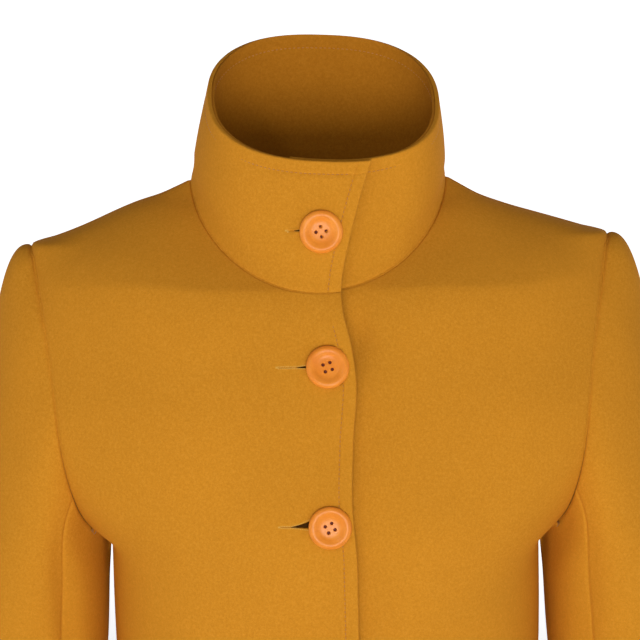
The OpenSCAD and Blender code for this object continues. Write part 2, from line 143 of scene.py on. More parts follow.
# The armhole in front and behind, from the shoulder to the underarm, and the lapping edge by height
ARM_FRONT = [(205.2, -43.5), (200, -72), (194, -104), (189, -140), (185, -175), (179, -207), (170, -236),
             (160, -250), (154, -254)]
ARM_BACK = [(205.2, -43.5), (201, -72), (197, -104), (192, -140), (187, -175), (181, -207), (171, -236),
            (160, -250), (154, -254)]
LAP_X = Curve([(0, 10), (-60, 13), (-71, 14), (-106, 21.4), (-130, 23.8), (-168, 20.8), (-210, 19.2),
               (-254, 21.9), (-313, 22), (-840, 22)])


def middle_y(z):
    return MIDDLE_Y * (1 - smooth((-43 - z) / 211))


def soften(curve, spread_mm):
    """The same curve with its corners eased."""
    reach = 60
    z = np.arange(-900.0, 1.0)
    k = np.exp(-0.5 * (np.arange(-reach, reach + 1) / spread_mm) ** 2)
    crisp = curve(np.maximum(z, HEM))
    padded = np.concatenate([np.full(reach, curve(HEM)), crisp, np.full(reach, curve(0.0))])
    eased = np.convolve(padded, k / k.sum(), "valid")
    keep = smooth((z + 34) / 26)
    return lambda h: np.interp(h, z, eased + (crisp - eased) * keep)


SOFT_W = soften(HALF_W, 13.0)


def half_at(s, z):
    """Half width of the body: crisp at the side, under the sleeve seam, and eased in front and behind."""
    return SOFT_W(z) + (HALF_W(z) - SOFT_W(z)) * smooth((np.abs(s) - 0.86) / 0.14)


def form(phi, z):
    """Point of the coat's body at an angle from the centre front and a height; x runs outwards."""
    s, c = np.sin(phi), np.cos(phi)
    e = 2.0 / ROUND(z)
    depth = np.where(c >= 0, -FRONT(z), BACK(z))
    return np.stack([half_at(s, z) * power(s, e), middle_y(z) + depth * np.abs(c) ** e, z + 0 * phi], -1)


def phi_at(x, z, back=False):
    """Angle of the form's point at a distance x from the middle and a height z."""
    half = HALF_W(z)
    for _ in range(9):
        s = np.clip(power(np.asarray(x, float) / half, ROUND(z) / 2.0), -1, 1)
        half = half_at(s, z)
    p = np.arcsin(s)
    return math.pi - p if back else p


def neck_place(a, back=False):
    """Angle and height on the form of the neck seam's point at angle a."""
    c = np.cos(a)
    z = -np.where(c > 0, NECK_DROP, NECK_DROP_BACK) * np.abs(c) ** NECK_POWER
    return phi_at(NECK_HALF_W * np.sin(a), z, back), z


def list_curve(points):
    s = np.linspace(0, 1, len(points))
    return Curve(list(zip(s, [p[0] for p in points]))), Curve(list(zip(s, [p[1] for p in points])))


ARM_XZ = {False: list_curve(ARM_FRONT), True: list_curve(ARM_BACK)}


def arm_place(s, back):
    """Angle and height of the armhole's point at a share s of the way down."""
    x, z = ARM_XZ[back][0](s), ARM_XZ[back][1](s)
    p = phi_at(x, z, back)
    end = smooth((s - 0.93) / 0.07) + smooth((0.03 - s) / 0.03)
    return p + (math.pi / 2 - p) * np.clip(end, 0, 1), z


def panel_place(kind, v):
    """Ends of row v of a panel, as (angle, height) at its inner and outer edge."""
    v = np.asarray(v, float)
    back = kind == "back"
    if back:
        a = math.pi / 2 + (math.pi / 2) * np.clip(v / BACK_NECK_ROWS, 0, 1)
        p0, z0 = neck_place(a, True)
        low = v > BACK_NECK_ROWS
        t = np.clip((v - BACK_NECK_ROWS) / (1 - BACK_NECK_ROWS), 0, 1)
        p0 = np.where(low, math.pi, p0)
        z0 = np.where(low, -NECK_DROP_BACK + (HEM + NECK_DROP_BACK) * t, z0)
    else:
        end = math.radians(LAP_NECK if kind == "right" else UNDER_ANGLE)
        a = math.pi / 2 - (math.pi / 2 + end) * np.clip(v / NECK_ROWS, 0, 1)
        p0, z0 = neck_place(a)
        low = v > NECK_ROWS
        t = np.clip((v - NECK_ROWS) / (1 - NECK_ROWS), 0, 1)
        top = -NECK_DROP * math.cos(end) ** NECK_POWER
        zl = top + (HEM - top) * t
        x = LAP_X(zl) if kind == "right" else LAP_UNDER + 0 * zl
        if kind == "right":
            x = x + (NECK_HALF_W * math.sin(end) - LAP_X(top)) * (1 - smooth(t / 0.02))
        p0 = np.where(low, phi_at(-x, zl), p0)
        z0 = np.where(low, zl, z0)
    p1, z1 = arm_place(np.clip(v / ARM_ROWS, 0, 1), back)
    low = v > ARM_ROWS
    t = np.clip((v - ARM_ROWS) / (1 - ARM_ROWS), 0, 1)
    p1 = np.where(low, math.pi / 2, p1)
    z1 = np.where(low, UNDERARM + (HEM - UNDERARM) * t, z1)
    return p0, z0, p1, z1


def tuck_at(x, h=0.0):
    """How far the wearer's left side lies behind the lapping one."""
    return TUCK * (1 - smooth((x - 24 - 16 * h) / 44)) + 2.0 * smooth((21 - x) / 42)


def lift_at(x, z):
    """How far the lapping edge stands off; x is outwards on the wearer's right."""
    edge = -LAP_X(np.clip(z, HEM, 0))
    lift = 1.8 + 3.6 * bell(z, -100, 38) + 0.8 * bell(z, -205, 30)
    return lift * smooth((edge + 30 - x) / 30)


def panel_at(kind, u, v):
    """Point of a panel: u runs outwards from its inner edge, v runs down."""
    p0, z0, p1, z1 = panel_place(kind, v)
    g = u + 0 * v
    if kind == "right":  # rows run level through the buttonholes
        g = u * (1 - smooth((v - NECK_ROWS) / 0.065) * (1 - smooth((u - 0.25) / 0.3)))
    p = form(p0 + (p1 - p0) * u, z0 + (z1 - z0) * g)
    x, z = p[..., 0], p[..., 2]
    if kind == "left":
        p[..., 1] += tuck_at(x) + 5.0 * bell(x, 26, 9) * bell(z, -100, 17)
    if kind == "right":
        p[..., 1] -= lift_at(x, z)
    return p


def warp(p):
    """The lean of the coat on its stand: the wearer's right shoulder sits higher."""
    p = np.array(p, float)
    p[..., 2] -= 2.8 * np.sign(p[..., 0]) * bell(np.abs(p[..., 0]), 130, 32)
    return p


# ---- Grids and shells ----
def filled(fixed, step):
    """The given places in order, with more between two that lie over a step apart."""
    fixed = sorted(set(fixed))
    out = [fixed[0]]
    for a, b in zip(fixed, fixed[1:]):
        n = max(1, int(math.ceil((b - a) / step)))
        out += [a + (b - a) * k / n for k in range(1, n + 1)]
    return np.array(out)


def spread(total, near0, near1, step, marks=()):
    """Distances from 0 to total, with closer ones near both ends and at each mark."""
    marks0 = [m for m in near0 if m < total / 2]
    marks1 = [total - m for m in near1 if m < total / 2]
    return filled([0.0, total] + marks0 + marks1 + [m for m in marks if 0 < m < total], step)


EDGE = (0.0, 0.3, 0.7, 1.2, 1.8, 2.8, 4.4)  # close columns beside an edge
LAYER_EDGE = (0.0, 0.3, 0.8, 1.6, 3.0)
TOPSTITCH = (7.9, 8.7, 9.1, 9.5, 9.9, 10.3, 11.1)
SEAM, FREE, THIN_EDGE = -0.75, 1.5, 0.9  # a seam's dip, and the rounding of free edges


def resample(fn, v, shares, u0=0.0, u1=1.0):
    """Row v of a surface, at shares of its length that depend on the row's real length."""
    us = np.linspace(u0, u1, 240)
    p = fn(us, np.full_like(us, v))
    d = run_length(p)
    return np.interp(shares(d[-1]), d, us)


def normals(g, wrap=False):
    du = np.roll(g, -1, 1) - np.roll(g, 1, 1) if wrap else np.gradient(g, axis=1)
    return unit(np.cross(du, np.gradient(g, axis=0)))


def along(g, axis):
    """Distance of each grid point from the first one of its row or column."""
    d = np.linalg.norm(np.diff(g, axis=axis), axis=-1)
    pad = [(0, 0), (0, 0)]
    pad[axis] = (1, 0)
    return np.pad(np.cumsum(d, axis=axis), pad)


def roll_off(d, r):
    """How far a rounded edge drops at distance d from it."""
    if r < 0:  # a pressed seam, which only dips
        return -r * bell(d, 0, 1.5)
    t = np.clip(1 - d / r, 0, 1)
    return r * (1 - np.sqrt(np.maximum(1 - t * t, 0)))


def edge_distances(g, wrap=False):
    across, down = along(g, 1), along(g, 0)
    sides = (across + 1e6, across + 1e6) if wrap else (across, across[:, -1:] - across)
    return sides + (down, down[-1:] - down)


def shell(g, n, thick, roll, dent=0.0, depth=0.0, wrap=False):
    """Both faces of a sheet, which follows the grid at a depth and has rounded edges, and how worn it is,
    less painted shade where it is dented deep, in buttonholes and behind buttons.

    n points outwards; roll is for the first column, the last column, the first row and the last row.
    """
    drop, wear_and_shade = np.zeros(g.shape[:2]), np.full(g.shape[:2], 1e3)
    for d, r in zip(edge_distances(g, wrap), roll):
        if r:
            drop, wear_and_shade = np.maximum(drop, roll_off(d, r)), np.minimum(wear_and_shade, d)
    drop = drop + dent
    outer = g - n * (depth + drop)[..., None]
    inner = g - n * (depth + np.maximum(thick, drop + 0.25))[..., None]
    # painted shade: the cloth darkens where a dent goes deeper than 0.9 mm, in the buttonholes' slits and
    # behind the buttons
    painted_pit_shade = np.clip((dent - 0.9) / 0.8, 0, 1)
    return outer, inner, np.exp(-wear_and_shade / 1.6) - painted_pit_shade


def quads_of(rows, cols, wrap, offset, turn):
    i, j = np.meshgrid(np.arange(rows - 1), np.arange(cols if wrap else cols - 1), indexing="ij")
    k = (j + 1) % cols
    q = np.stack([i * cols + j, i * cols + k, (i + 1) * cols + k, (i + 1) * cols + j], -1)
    q = q.reshape(-1, 4) + offset
    return q[:, ::-1] if turn else q


def shell_mesh(a, b, wrap=False):
    """Vertices and quads of a closed sheet between two grids."""
    rows, cols = a.shape[:2]
    n = rows * cols
    verts = np.concatenate([a.reshape(-1, 3), b.reshape(-1, 3)])
    quads = [quads_of(rows, cols, wrap, 0, False), quads_of(rows, cols, wrap, n, True)]

    def wall(ids, flip):
        ids = np.asarray(ids)
        q = np.stack([ids[:-1], ids[1:], ids[1:] + n, ids[:-1] + n], -1)
        quads.append(q[:, ::-1] if flip else q)

    top, bottom = list(range(cols)), [(rows - 1) * cols + j for j in range(cols)]
    if wrap:
        top, bottom = top + [0], bottom + [(rows - 1) * cols]
    wall(top, True)
    wall(bottom, False)
    if not wrap:
        wall([i * cols for i in range(rows)], False)
        wall([i * cols + cols - 1 for i in range(rows)], True)
    return verts, np.concatenate(quads)


def placed(name, data):
    o = bpy.data.objects.new(name, data)
    bpy.context.scene.collection.objects.link(o)
    return o


def mesh(name, verts, quads, material, wear_and_shade=None):
    """An object in metres from points in millimetres; the last argument is the wear at each point, less
    painted shade in deep dents.
    """
    me = bpy.data.meshes.new(name)
    verts = np.asarray(verts, float) * MM
    if isinstance(quads, np.ndarray):
        me.vertices.add(len(verts))
        me.vertices.foreach_set("co", verts.astype(np.float32).ravel())
        me.loops.add(quads.size)
        me.loops.foreach_set("vertex_index", quads.astype(np.int32).ravel())
        me.polygons.add(len(quads))
        me.polygons.foreach_set("loop_start", np.arange(0, quads.size, quads.shape[1], dtype=np.int32))
        me.update(calc_edges=True)
        me.validate()
    else:
        me.from_pydata([tuple(v) for v in verts], [], quads)
        me.update()
    me.polygons.foreach_set("use_smooth", np.full(len(me.polygons), True))
    if wear_and_shade is not None:
        layer = me.attributes.new("wear_and_shade", "FLOAT", "POINT")
        layer.data.foreach_set("value", np.asarray(wear_and_shade, np.float32))
        me.set_sharp_from_angle(angle=math.radians(52))
    me.materials.append(material)
    return placed(name, me)


def volume_sign(verts, quads):
    a, b, c, d = (verts[quads[:, k]] for k in range(4))
    return np.einsum("ij,ij->i", a, np.cross(b, c)).sum() + np.einsum("ij,ij->i", a, np.cross(c, d)).sum()


def closed_piece(name, outer, inner, material, side=L, wrap=False, wear_and_shade=None):
    """A closed sheet between two faces drawn on the wearer's left; side R mirrors it."""
    verts, quads = shell_mesh(warp(outer * [side, 1, 1]), warp(inner * [side, 1, 1]), wrap)
    if volume_sign(verts, quads) < 0:
        quads = quads[:, ::-1]
    return mesh(name, verts, np.ascontiguousarray(quads), material, wear_and_shade)


def sheet_piece(name, g, n, material, side=L, wrap=False, thick=CLOTH, **how):
    """A sheet of cloth from a grid drawn on the wearer's left."""
    outer, inner, wear_and_shade = shell(g, n, thick, wrap=wrap, **how)
    return closed_piece(name, outer, inner, material, side, wrap, np.tile(wear_and_shade.ravel(), 2))


def capsules(name, starts, ends, ups, radius, material, squash=0.6):
    """Short threads, each a six-sided capsule from start to end."""
    verts, faces = [], []
    ring = [(math.cos(math.radians(60 * k)), math.sin(math.radians(60 * k))) for k in range(6)]
    for p, q, up in zip(starts, ends, ups):
        d = q - p
        w = unit(np.cross(d, up))
        up = np.cross(w, unit(d))
        base = len(verts)
        for t, r, sink in ((0, 0.45, 1.0), (0.22, 1, 0), (0.78, 1, 0), (1, 0.45, 1.0)):
            c = p + d * t - up * sink * radius
            verts += [c + w * x * r * radius + up * y * r * radius * squash for x, y in ring]
        for k in range(3):
            for j in range(6):
                a, b = base + 6 * k + j, base + 6 * k + (j + 1) % 6
                faces.append((a, b, b + 6, a + 6))
        faces.append(tuple(base + j for j in range(5, -1, -1)))
        faces.append(tuple(base + 18 + j for j in range(6)))
    return mesh(name, np.array(verts), faces, material)


# ---- Materials ----
def nodes_of(name):
    """A new material, its node tree and its shader."""
    m = bpy.data.materials.new(name)
    m.use_nodes = True
    t = m.node_tree
    t.nodes.clear()
    out = t.nodes.new("ShaderNodeOutputMaterial")
    s = t.nodes.new("ShaderNodeBsdfPrincipled")
    t.links.new(s.outputs[0], out.inputs[0])
    return m, t, s


def rgb(r, g, b):
    """A linear colour from the usual 0 to 255 values."""
    def lin(c):
        c /= 255.0
        return c / 12.92 if c <= 0.04045 else ((c + 0.055) / 1.055) ** 2.4
    return (lin(r), lin(g), lin(b), 1.0)


def grey(x):
    return (x, x, x, 1)


def node(t, kind, links=(), **values):
    n = t.nodes.new(kind)
    for k, v in values.items():
        if k in n.inputs:
            n.inputs[k].default_value = v
        else:
            setattr(n, k, v)
    for src, dst in links:
        t.links.new(src, n.inputs[dst])
    return n


def noise(t, co, scale, detail=2.0, rough=0.5, distortion=0.0):
    n = node(t, "ShaderNodeTexNoise", [(co, "Vector")], Scale=scale, Detail=detail, Roughness=rough,
             Distortion=distortion)
    return n.outputs["Fac"]


def ramp(t, fac, stops):
    n = node(t, "ShaderNodeValToRGB", [(fac, "Fac")])
    e = n.color_ramp.elements
    while len(e) < len(stops):
        e.new(0.5)
    for el, (pos, col) in zip(e, stops):
        el.position, el.color = pos, col
    return n.outputs["Color"]


def math_node(t, op, a, b, clamp=False):
    n = t.nodes.new("ShaderNodeMath")
    n.operation, n.use_clamp = op, clamp
    for k, x in enumerate((a, b)):
        if isinstance(x, (int, float)):
            n.inputs[k].default_value = x
        else:
            t.links.new(x, n.inputs[k])
    return n.outputs[0]


def mix_colour(t, fac, a, b, blend="MIX"):
    n = t.nodes.new("ShaderNodeMix")
    n.data_type, n.blend_type = "RGBA", blend
    colours = [i for i in n.inputs if i.type == "RGBA"]
    for socket, x in zip([n.inputs["Factor"]] + colours, (fac, a, b)):
        if isinstance(x, (tuple, int, float)):
            socket.default_value = x
        else:
            t.links.new(x, socket)
    return [o for o in n.outputs if o.type == "RGBA"][0]


def finish_of(s, **values):
    """Sets a shader's inputs; an underscore in a name stands for a space."""
    for k, v in values.items():
        s.inputs[k.replace("_", " ")].default_value = v


def bumped(t, s, height, strength, distance):
    b = node(t, "ShaderNodeBump", [(height, "Height")], Strength=strength, Distance=distance)
    t.links.new(b.outputs[0], s.inputs["Normal"])


def wool(name, base, dark, light, sheen=0.2, bump=0.3):
    """Felted wool: a short nap with fine mottling, faint woven ribs, paler rubbed edges and painted shade in
    deep dents.
    """
    m, t, s = nodes_of(name)
    co = node(t, "ShaderNodeTexCoord").outputs["Object"]
    broad = noise(t, co, 11, 3, 0.55)
    nap = noise(t, co, 520, 3, 0.6, 0.3)
    felt = noise(t, co, 1500, 3, 0.6)
    ribs = node(t, "ShaderNodeMapping", [(co, "Vector")], Scale=(1500, 1500, 520)).outputs[0]
    hair = noise(t, ribs, 1.0, 2, 0.6)
    mottled = ramp(t, nap, [(0.3, dark), (0.52, base), (0.75, light)])
    wide = ramp(t, broad, [(0.3, (0.965, 0.965, 0.96, 1)), (0.7, grey(1.03))])
    colour = mix_colour(t, 1.0, mottled, wide, "MULTIPLY")
    flecks = ramp(t, felt, [(0.34, (0.88, 0.87, 0.85, 1)), (0.55, grey(1)), (0.74, grey(1.06))])
    colour = mix_colour(t, 0.8, colour, flecks, "MULTIPLY")
    wear_and_shade = node(t, "ShaderNodeAttribute", attribute_name="wear_and_shade").outputs["Fac"]
    worn = math_node(t, "MULTIPLY", wear_and_shade, math_node(t, "MULTIPLY", felt, 0.4), True)
    colour = mix_colour(t, worn, colour, light)
    # painted shade: below zero, in deep dents, the colour goes to a dark brown
    colour = mix_colour(t, math_node(t, "MULTIPLY", wear_and_shade, -0.93, True), colour, rgb(38, 17, 5))
    t.links.new(colour, s.inputs["Base Color"])
    finish_of(s, Roughness=0.96, Specular_IOR_Level=0.1, Sheen_Weight=sheen, Sheen_Roughness=0.5,
              Sheen_Tint=light)
    fluff = math_node(t, "ADD", math_node(t, "MULTIPLY", nap, 0.6), math_node(t, "MULTIPLY", hair, 0.7))
    bumped(t, s, math_node(t, "ADD", math_node(t, "MULTIPLY", felt, 0.7), fluff), bump, 0.0004)
    return m


def satin(name, base, dark):
    """Lining satin: fine lengthwise threads with a soft shine."""
    m, t, s = nodes_of(name)
    co = node(t, "ShaderNodeTexCoord").outputs["Object"]
    broad = noise(t, co, 26, 3, 0.5, 0.6)
    warp_threads = node(t, "ShaderNodeMapping", [(co, "Vector")], Scale=(2600, 2600, 260)).outputs[0]
    threads = noise(t, warp_threads, 1.0, 2, 0.5)
    colour = ramp(t, broad, [(0.3, dark), (0.65, base)])
    streaks = ramp(t, threads, [(0.3, grey(0.8)), (0.7, grey(1.1))])
    t.links.new(mix_colour(t, 0.5, colour, streaks, "MULTIPLY"), s.inputs["Base Color"])
    finish_of(s, Roughness=0.38, Sheen_Weight=0.15, Anisotropic=0.4)
    bumped(t, s, math_node(t, "ADD", math_node(t, "MULTIPLY", threads, 0.4), broad), 0.18, 0.0006)
    return m


def thread(name, base, light):
    """Twisted sewing thread."""
    m, t, s = nodes_of(name)
    co = node(t, "ShaderNodeTexCoord").outputs["Object"]
    twist = node(t, "ShaderNodeTexWave", [(co, "Vector")], Scale=900.0, Distortion=1.5, Detail=1.0)
    twist.bands_direction = "DIAGONAL"
    t.links.new(ramp(t, twist.outputs["Fac"], [(0.2, base), (0.8, light)]), s.inputs["Base Color"])
    finish_of(s, Roughness=0.62, Sheen_Weight=0.2)
    bumped(t, s, twist.outputs["Fac"], 0.3, 0.0002)
    return m


def resin(name, base, dark, light):
    """Polished button resin with faint clouds."""
    m, t, s = nodes_of(name)
    co = node(t, "ShaderNodeTexCoord").outputs["Object"]
    cloud = noise(t, co, 70, 3, 0.55, 0.9)
    grain = noise(t, co, 900, 2, 0.5)
    colour = ramp(t, cloud, [(0.25, dark), (0.5, base), (0.8, light)])
    flecks = ramp(t, grain, [(0.35, (0.9, 0.88, 0.86, 1)), (0.65, grey(1.04))])
    t.links.new(mix_colour(t, 0.35, colour, flecks, "MULTIPLY"), s.inputs["Base Color"])
    t.links.new(math_node(t, "ADD", math_node(t, "MULTIPLY", grain, 0.12), 0.27), s.inputs["Roughness"])
    finish_of(s, Specular_IOR_Level=0.22, Coat_Weight=0.05, Coat_Roughness=0.12)
    bumped(t, s, grain, 0.05, 0.0002)
    return m


WOOL = wool("wool_coating", rgb(203, 134, 34), rgb(197, 128, 30), rgb(210, 142, 42))
# A darker copy of the coat's wool for the collar's inner layer: painted shade for the inside of the neck
SHADED_INNER_WOOL = wool("wool_coating_inside_painted_shade", rgb(178, 112, 24), rgb(170, 105, 20), rgb(186, 118, 30))
SATIN = satin("lining_satin", rgb(186, 124, 44), rgb(150, 95, 28))
FELT = wool("wadding", rgb(196, 188, 170), rgb(186, 178, 160), rgb(206, 200, 186), 0.1, 0.5)
THREAD = thread("thread", rgb(196, 146, 44), rgb(222, 178, 72))
EDGE_THREAD = thread("edge_thread", rgb(170, 104, 22), rgb(188, 120, 32))
# The thread through the buttons' holes: real thread, coloured dark red-brown as painted shade inside the
# holes
HOLE_SHADE_THREAD = thread("sewing_thread_hole_shade", rgb(92, 26, 8), rgb(112, 36, 14))
RESIN = resin("button_resin", rgb(233, 138, 42), rgb(226, 128, 36), rgb(240, 150, 54))


# ---- Body panels ----
def give(o, body, slot_name, *nodes, fill=None):
    """Puts a piece on its body, when it is given one, and hides the CAD nodes that it replaces; the slot name
    is not used.
    """
    if body:
        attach(o, body)
    if nodes:
        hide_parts(*nodes)


def v_rows(kind, v0, v1, step=0.0046, marks=()):
    neck = BACK_NECK_ROWS if kind == "back" else NECK_ROWS
    return filled([v0, v1] + [x for x in [neck, ARM_ROWS] + list(marks) if v0 < x < v1], step)


def row_of(z):
    """Row of a front whose inner edge is at height z."""
    top = -NECK_DROP * math.cos(math.radians(LAP_NECK)) ** NECK_POWER
    return NECK_ROWS + (1 - NECK_ROWS) * (z - top) / (HEM - top)


def panel_grid(kind, vs, shares, u0=0.0, u1=1.0):
    def row(u, v):
        return panel_at(kind, u, v)
    us = np.stack([resample(row, v, shares, u0, u1) for v in vs])
    return row(us, np.repeat(vs[:, None], us.shape[1], 1)), us


def share_maker(near0, near1, step_mm, length_mm):
    """The same number of columns in every row: real distances near the edges, shares between them."""
    inner, outer = np.array(near0, float), np.array(near1, float)
    n = max(2, int((length_mm - inner[-1] - outer[-1]) / step_mm))

    def shares(total):
        k = min(1.0, 0.45 * total / max(inner[-1] + outer[-1], 1e-6))
        a, b = inner * k, total - outer[::-1] * k
        mid = a[-1] + (b[0] - a[-1]) * np.arange(1, n) / n
        return np.concatenate([a, mid, b])
    return shares


def outward(g, n):
    """The same normals, made to point away from the coat's middle."""
    return n if (g[..., :2] * n[..., :2]).sum() > 0 else -n


# Close rows beside the hem, at its fold and beside the neck, as shares of a panel about this long
PANEL_LENGTH, NECK_LENGTH = 780.0, 420.0
HEM_ROWS = [1 - d / PANEL_LENGTH for d in EDGE[1:] + (28.5, 29.3, 30.0, 30.7, 31.5)]
TOP_ROWS = [d / NECK_LENGTH for d in EDGE[1:]]

# Buttonholes: where each starts and begins to gape, from its button's centre, and half its gape at the button
SLITS = [(-23.5, -18.5, 0.5), (-34.5, -20.8, 0.75), (-34.5, -26.5, 3.1), (-34.5, -23.0, 0.8),
         (-34.5, -22.0, 0.9)]
BUTTON_EDGE, SLIT_END, LIP = -14.0, 4.0, 0.16


def slit_shape(i, x):
    """Height of the slit's middle and half its height at a place from the button's centre."""
    x0, x1, gape = SLITS[i]
    t = np.clip((x - x1) / (BUTTON_EDGE - x1), 0, 1)
    half = LIP + gape * t**1.3
    return 0.45 * (half - LIP) + 0.7, half


def slit_dent(i, x, dz):
    """How deep the cloth is cut by a buttonhole, whose lips stand up a little."""
    middle, half = slit_shape(i, x)
    x0, x1 = SLITS[i][:2]
    inside = smooth((x - x0) / 0.8) * smooth((SLIT_END - x) / 0.8)
    off = np.abs(dz - middle)
    open_part = smooth((x - x1 + 0.5) / 1.0)
    slot = (0.5 + 2.1 * open_part) * (1 - smooth((off - half * 0.7) / 0.35))
    return inside * (slot - 0.25 * bell(off, half + 0.9, 0.6))


def button_place(i):
    """A button's joint and its axis, which points out of the cloth."""
    return BUTTONS[i], unit(np.array(JOINTS["button_swivel_%d" % (i + 1)]["axis"], float))


def button_press(i, g):
    """How far the cloth is pressed in behind a button."""
    place, axis = button_place(i)
    rel = g - place
    high = rel @ axis
    radius = np.linalg.norm(rel - high[..., None] * axis, axis=-1)
    press = np.clip(high - BUTTON_LIFT + 0.5, 0, 2.4) * (1 - smooth((radius - 11.5) / 4.0))
    return press * (np.abs(high) < 12)


def hem_line(g):
    """The faint dip along the top of the turned-up hem."""
    down = along(g, 0)
    return 0.3 * bell(down[-1:] - down, HEM_FOLD, 0.7)


def make_front(kind, side):
    slit_rows = []
    near = list(EDGE) + [9, 14, 19, 24]
    if kind == "right":
        slit_rows = [row_of(z + d) for z in BUTTON_Z[1:] for d in np.arange(-2.4, 7.2, 0.3)]
        near = list(EDGE) + [6.2] + list(TOPSTITCH) + [12.2 + 0.9 * k for k in range(54)]
    vs = v_rows(kind, 0, 1, marks=HEM_ROWS + TOP_ROWS + slit_rows)
    g = panel_grid(kind, vs, share_maker(near, EDGE, 4.2, 205))[0]
    n = outward(g, normals(g))
    dent = np.zeros(g.shape[:2])
    if kind == "right":
        dent += 0.5 * bell(along(g, 1), TOPSTITCH_IN, 0.6) * smooth((vs[:, None] - NECK_ROWS - 0.012) / 0.01)
        for i in range(1, 5):
            x, z = -g[..., 0] - BUTTON_X[i], g[..., 2] - BUTTON_Z[i]
            dent += slit_dent(i, x, z) * (np.abs(z) < 8)
            dent = np.maximum(dent, button_press(i, warp(g * [side, 1, 1])))
    dent += hem_line(g)
    o = sheet_piece("front_" + kind, g, n, WOOL, side, dent=dent, roll=(FREE, SEAM, SEAM, FREE))
    give(o, "coat_body", "wool_coating", kind + "_front", kind + "_interlining")
    return g, n, vs


def make_back(side):
    word = SIDE_NAME[side]
    vs = v_rows("back", 0, 1, marks=HEM_ROWS + TOP_ROWS)
    g = panel_grid("back", vs, share_maker(EDGE, EDGE, 4.4, 200))[0]
    o = sheet_piece("back_panel_" + word, g, outward(g, normals(g)), WOOL, side, dent=hem_line(g),
                    roll=(SEAM, SEAM, 0, FREE))
    give(o, "coat_body", "wool_coating", "back_" + word)


fronts = {kind: make_front(kind, side) for kind, side in (("right", R), ("left", L))}
for side in (R, L):
    make_back(side)


def layer_rows(kind, v0, v1):
    return v_rows(kind, v0, v1, 0.008, [v1 - 0.0006, v1 - 0.0016, v0 + 0.0008, v0 + 0.002])


def slack(u, v):
    """How much deeper the lining hangs below the shoulder."""
    return 11.0 * smooth((u - 0.34) / 0.4) * (1 - smooth((v - 0.06) / 0.14))


def facing(kind, side):
    """The cloth turned in behind a front edge."""
    vs = layer_rows(kind, 0.004, 0.994)
    g = panel_grid(kind, vs, share_maker(LAYER_EDGE, LAYER_EDGE, 5, 80), 0.0, FACING_U)[0]
    o = sheet_piece("facing_" + kind, g, outward(g, normals(g)), WOOL, side, thick=FACING, depth=FACING_DEPTH,
                    roll=(THIN_EDGE,) * 4)
    give(o, "coat_body", "wool_coating", kind + "_facing")


def front_lining(kind, side):
    vs = layer_rows(kind, 0.032, 0.97)
    g, us = panel_grid(kind, vs, share_maker(LAYER_EDGE, LAYER_EDGE, 6.0, 125), FACING_U - 0.03, LINING_U)
    o = sheet_piece("lining_front_" + kind + "_satin", g, outward(g, normals(g)), SATIN, side, thick=LINING,
                    depth=LINING_DEPTH + slack(us, vs[:, None]), roll=(LINING_EDGE,) * 4)
    give(o, "coat_body", "lining_satin", "lining_front_" + kind)


for kind, side in (("right", R), ("left", L)):
    facing(kind, side)
    front_lining(kind, side)


def back_lining():
    """One satin back, drawn on one side and joined to its mirror image along the centre."""
    vs = layer_rows("back", 0.17, 0.97)
    g, us = panel_grid("back", vs, share_maker((0.0, 3.0), LAYER_EDGE, 6.0, 190), 0.0, LINING_U)
    us = np.concatenate([us[:, :0:-1], us], axis=1)
    g = np.concatenate([g[:, :0:-1] * [-1, 1, 1], g], axis=1)
    o = sheet_piece("lining_back_satin", g, outward(g, normals(g)), SATIN, thick=LINING,
                    depth=LINING_DEPTH + slack(us, vs[:, None]), roll=(LINING_EDGE,) * 4)
    give(o, "coat_body", "lining_satin", "lining_back")


back_lining()


def neck_facing():
    """The facing round the back of the neck: columns run round the neck seam, rows run down from it."""
    reach = np.array(LAYER_EDGE + (8, 14, 20, 26, 32, 38, 41, 42.4, 43.2, 43.7, 44.0))
    us = np.linspace(0, 1, 240)
    columns = []
    for v in np.linspace(0.01, BACK_NECK_ROWS, 26):
        # each column leaves the neck seam at right angles to it, down the panel
        drift = v + us * 0.34 * v / BACK_NECK_ROWS
        inward = us * (1 - 0.999 * smooth((v - 0.02) / (BACK_NECK_ROWS - 0.02)))
        p = panel_at("back", inward, drift)
        d = run_length(p)
        columns.append(np.stack([np.interp(reach, d, p[:, k]) for k in range(3)], -1))
    g = np.array(columns)  # from the shoulder to the centre back, and on to the other shoulder
    g = np.swapaxes(np.concatenate([g * [-1, 1, 1], g[-2::-1]], axis=0), 0, 1)
    n = normals(g)
    n = n if n[0, g.shape[1] // 2, 1] > 0 else -n
    o = sheet_piece("facing_back_neck", g, n, WOOL, thick=FACING, depth=FACING_DEPTH, roll=(THIN_EDGE,) * 4)
    give(o, "coat_body", "wool_coating", "back_neck_facing")


neck_facing()


# ---- Collar ----
RIM_W, RIM_DEPTH, RIM_POWER = 82.0, 76.0, 0.82
RIM_FRONT, RIM_BACK, SLUMP = 24.0, 95.0, 0.05  # heights of the rim, and its fall to the wearer's left


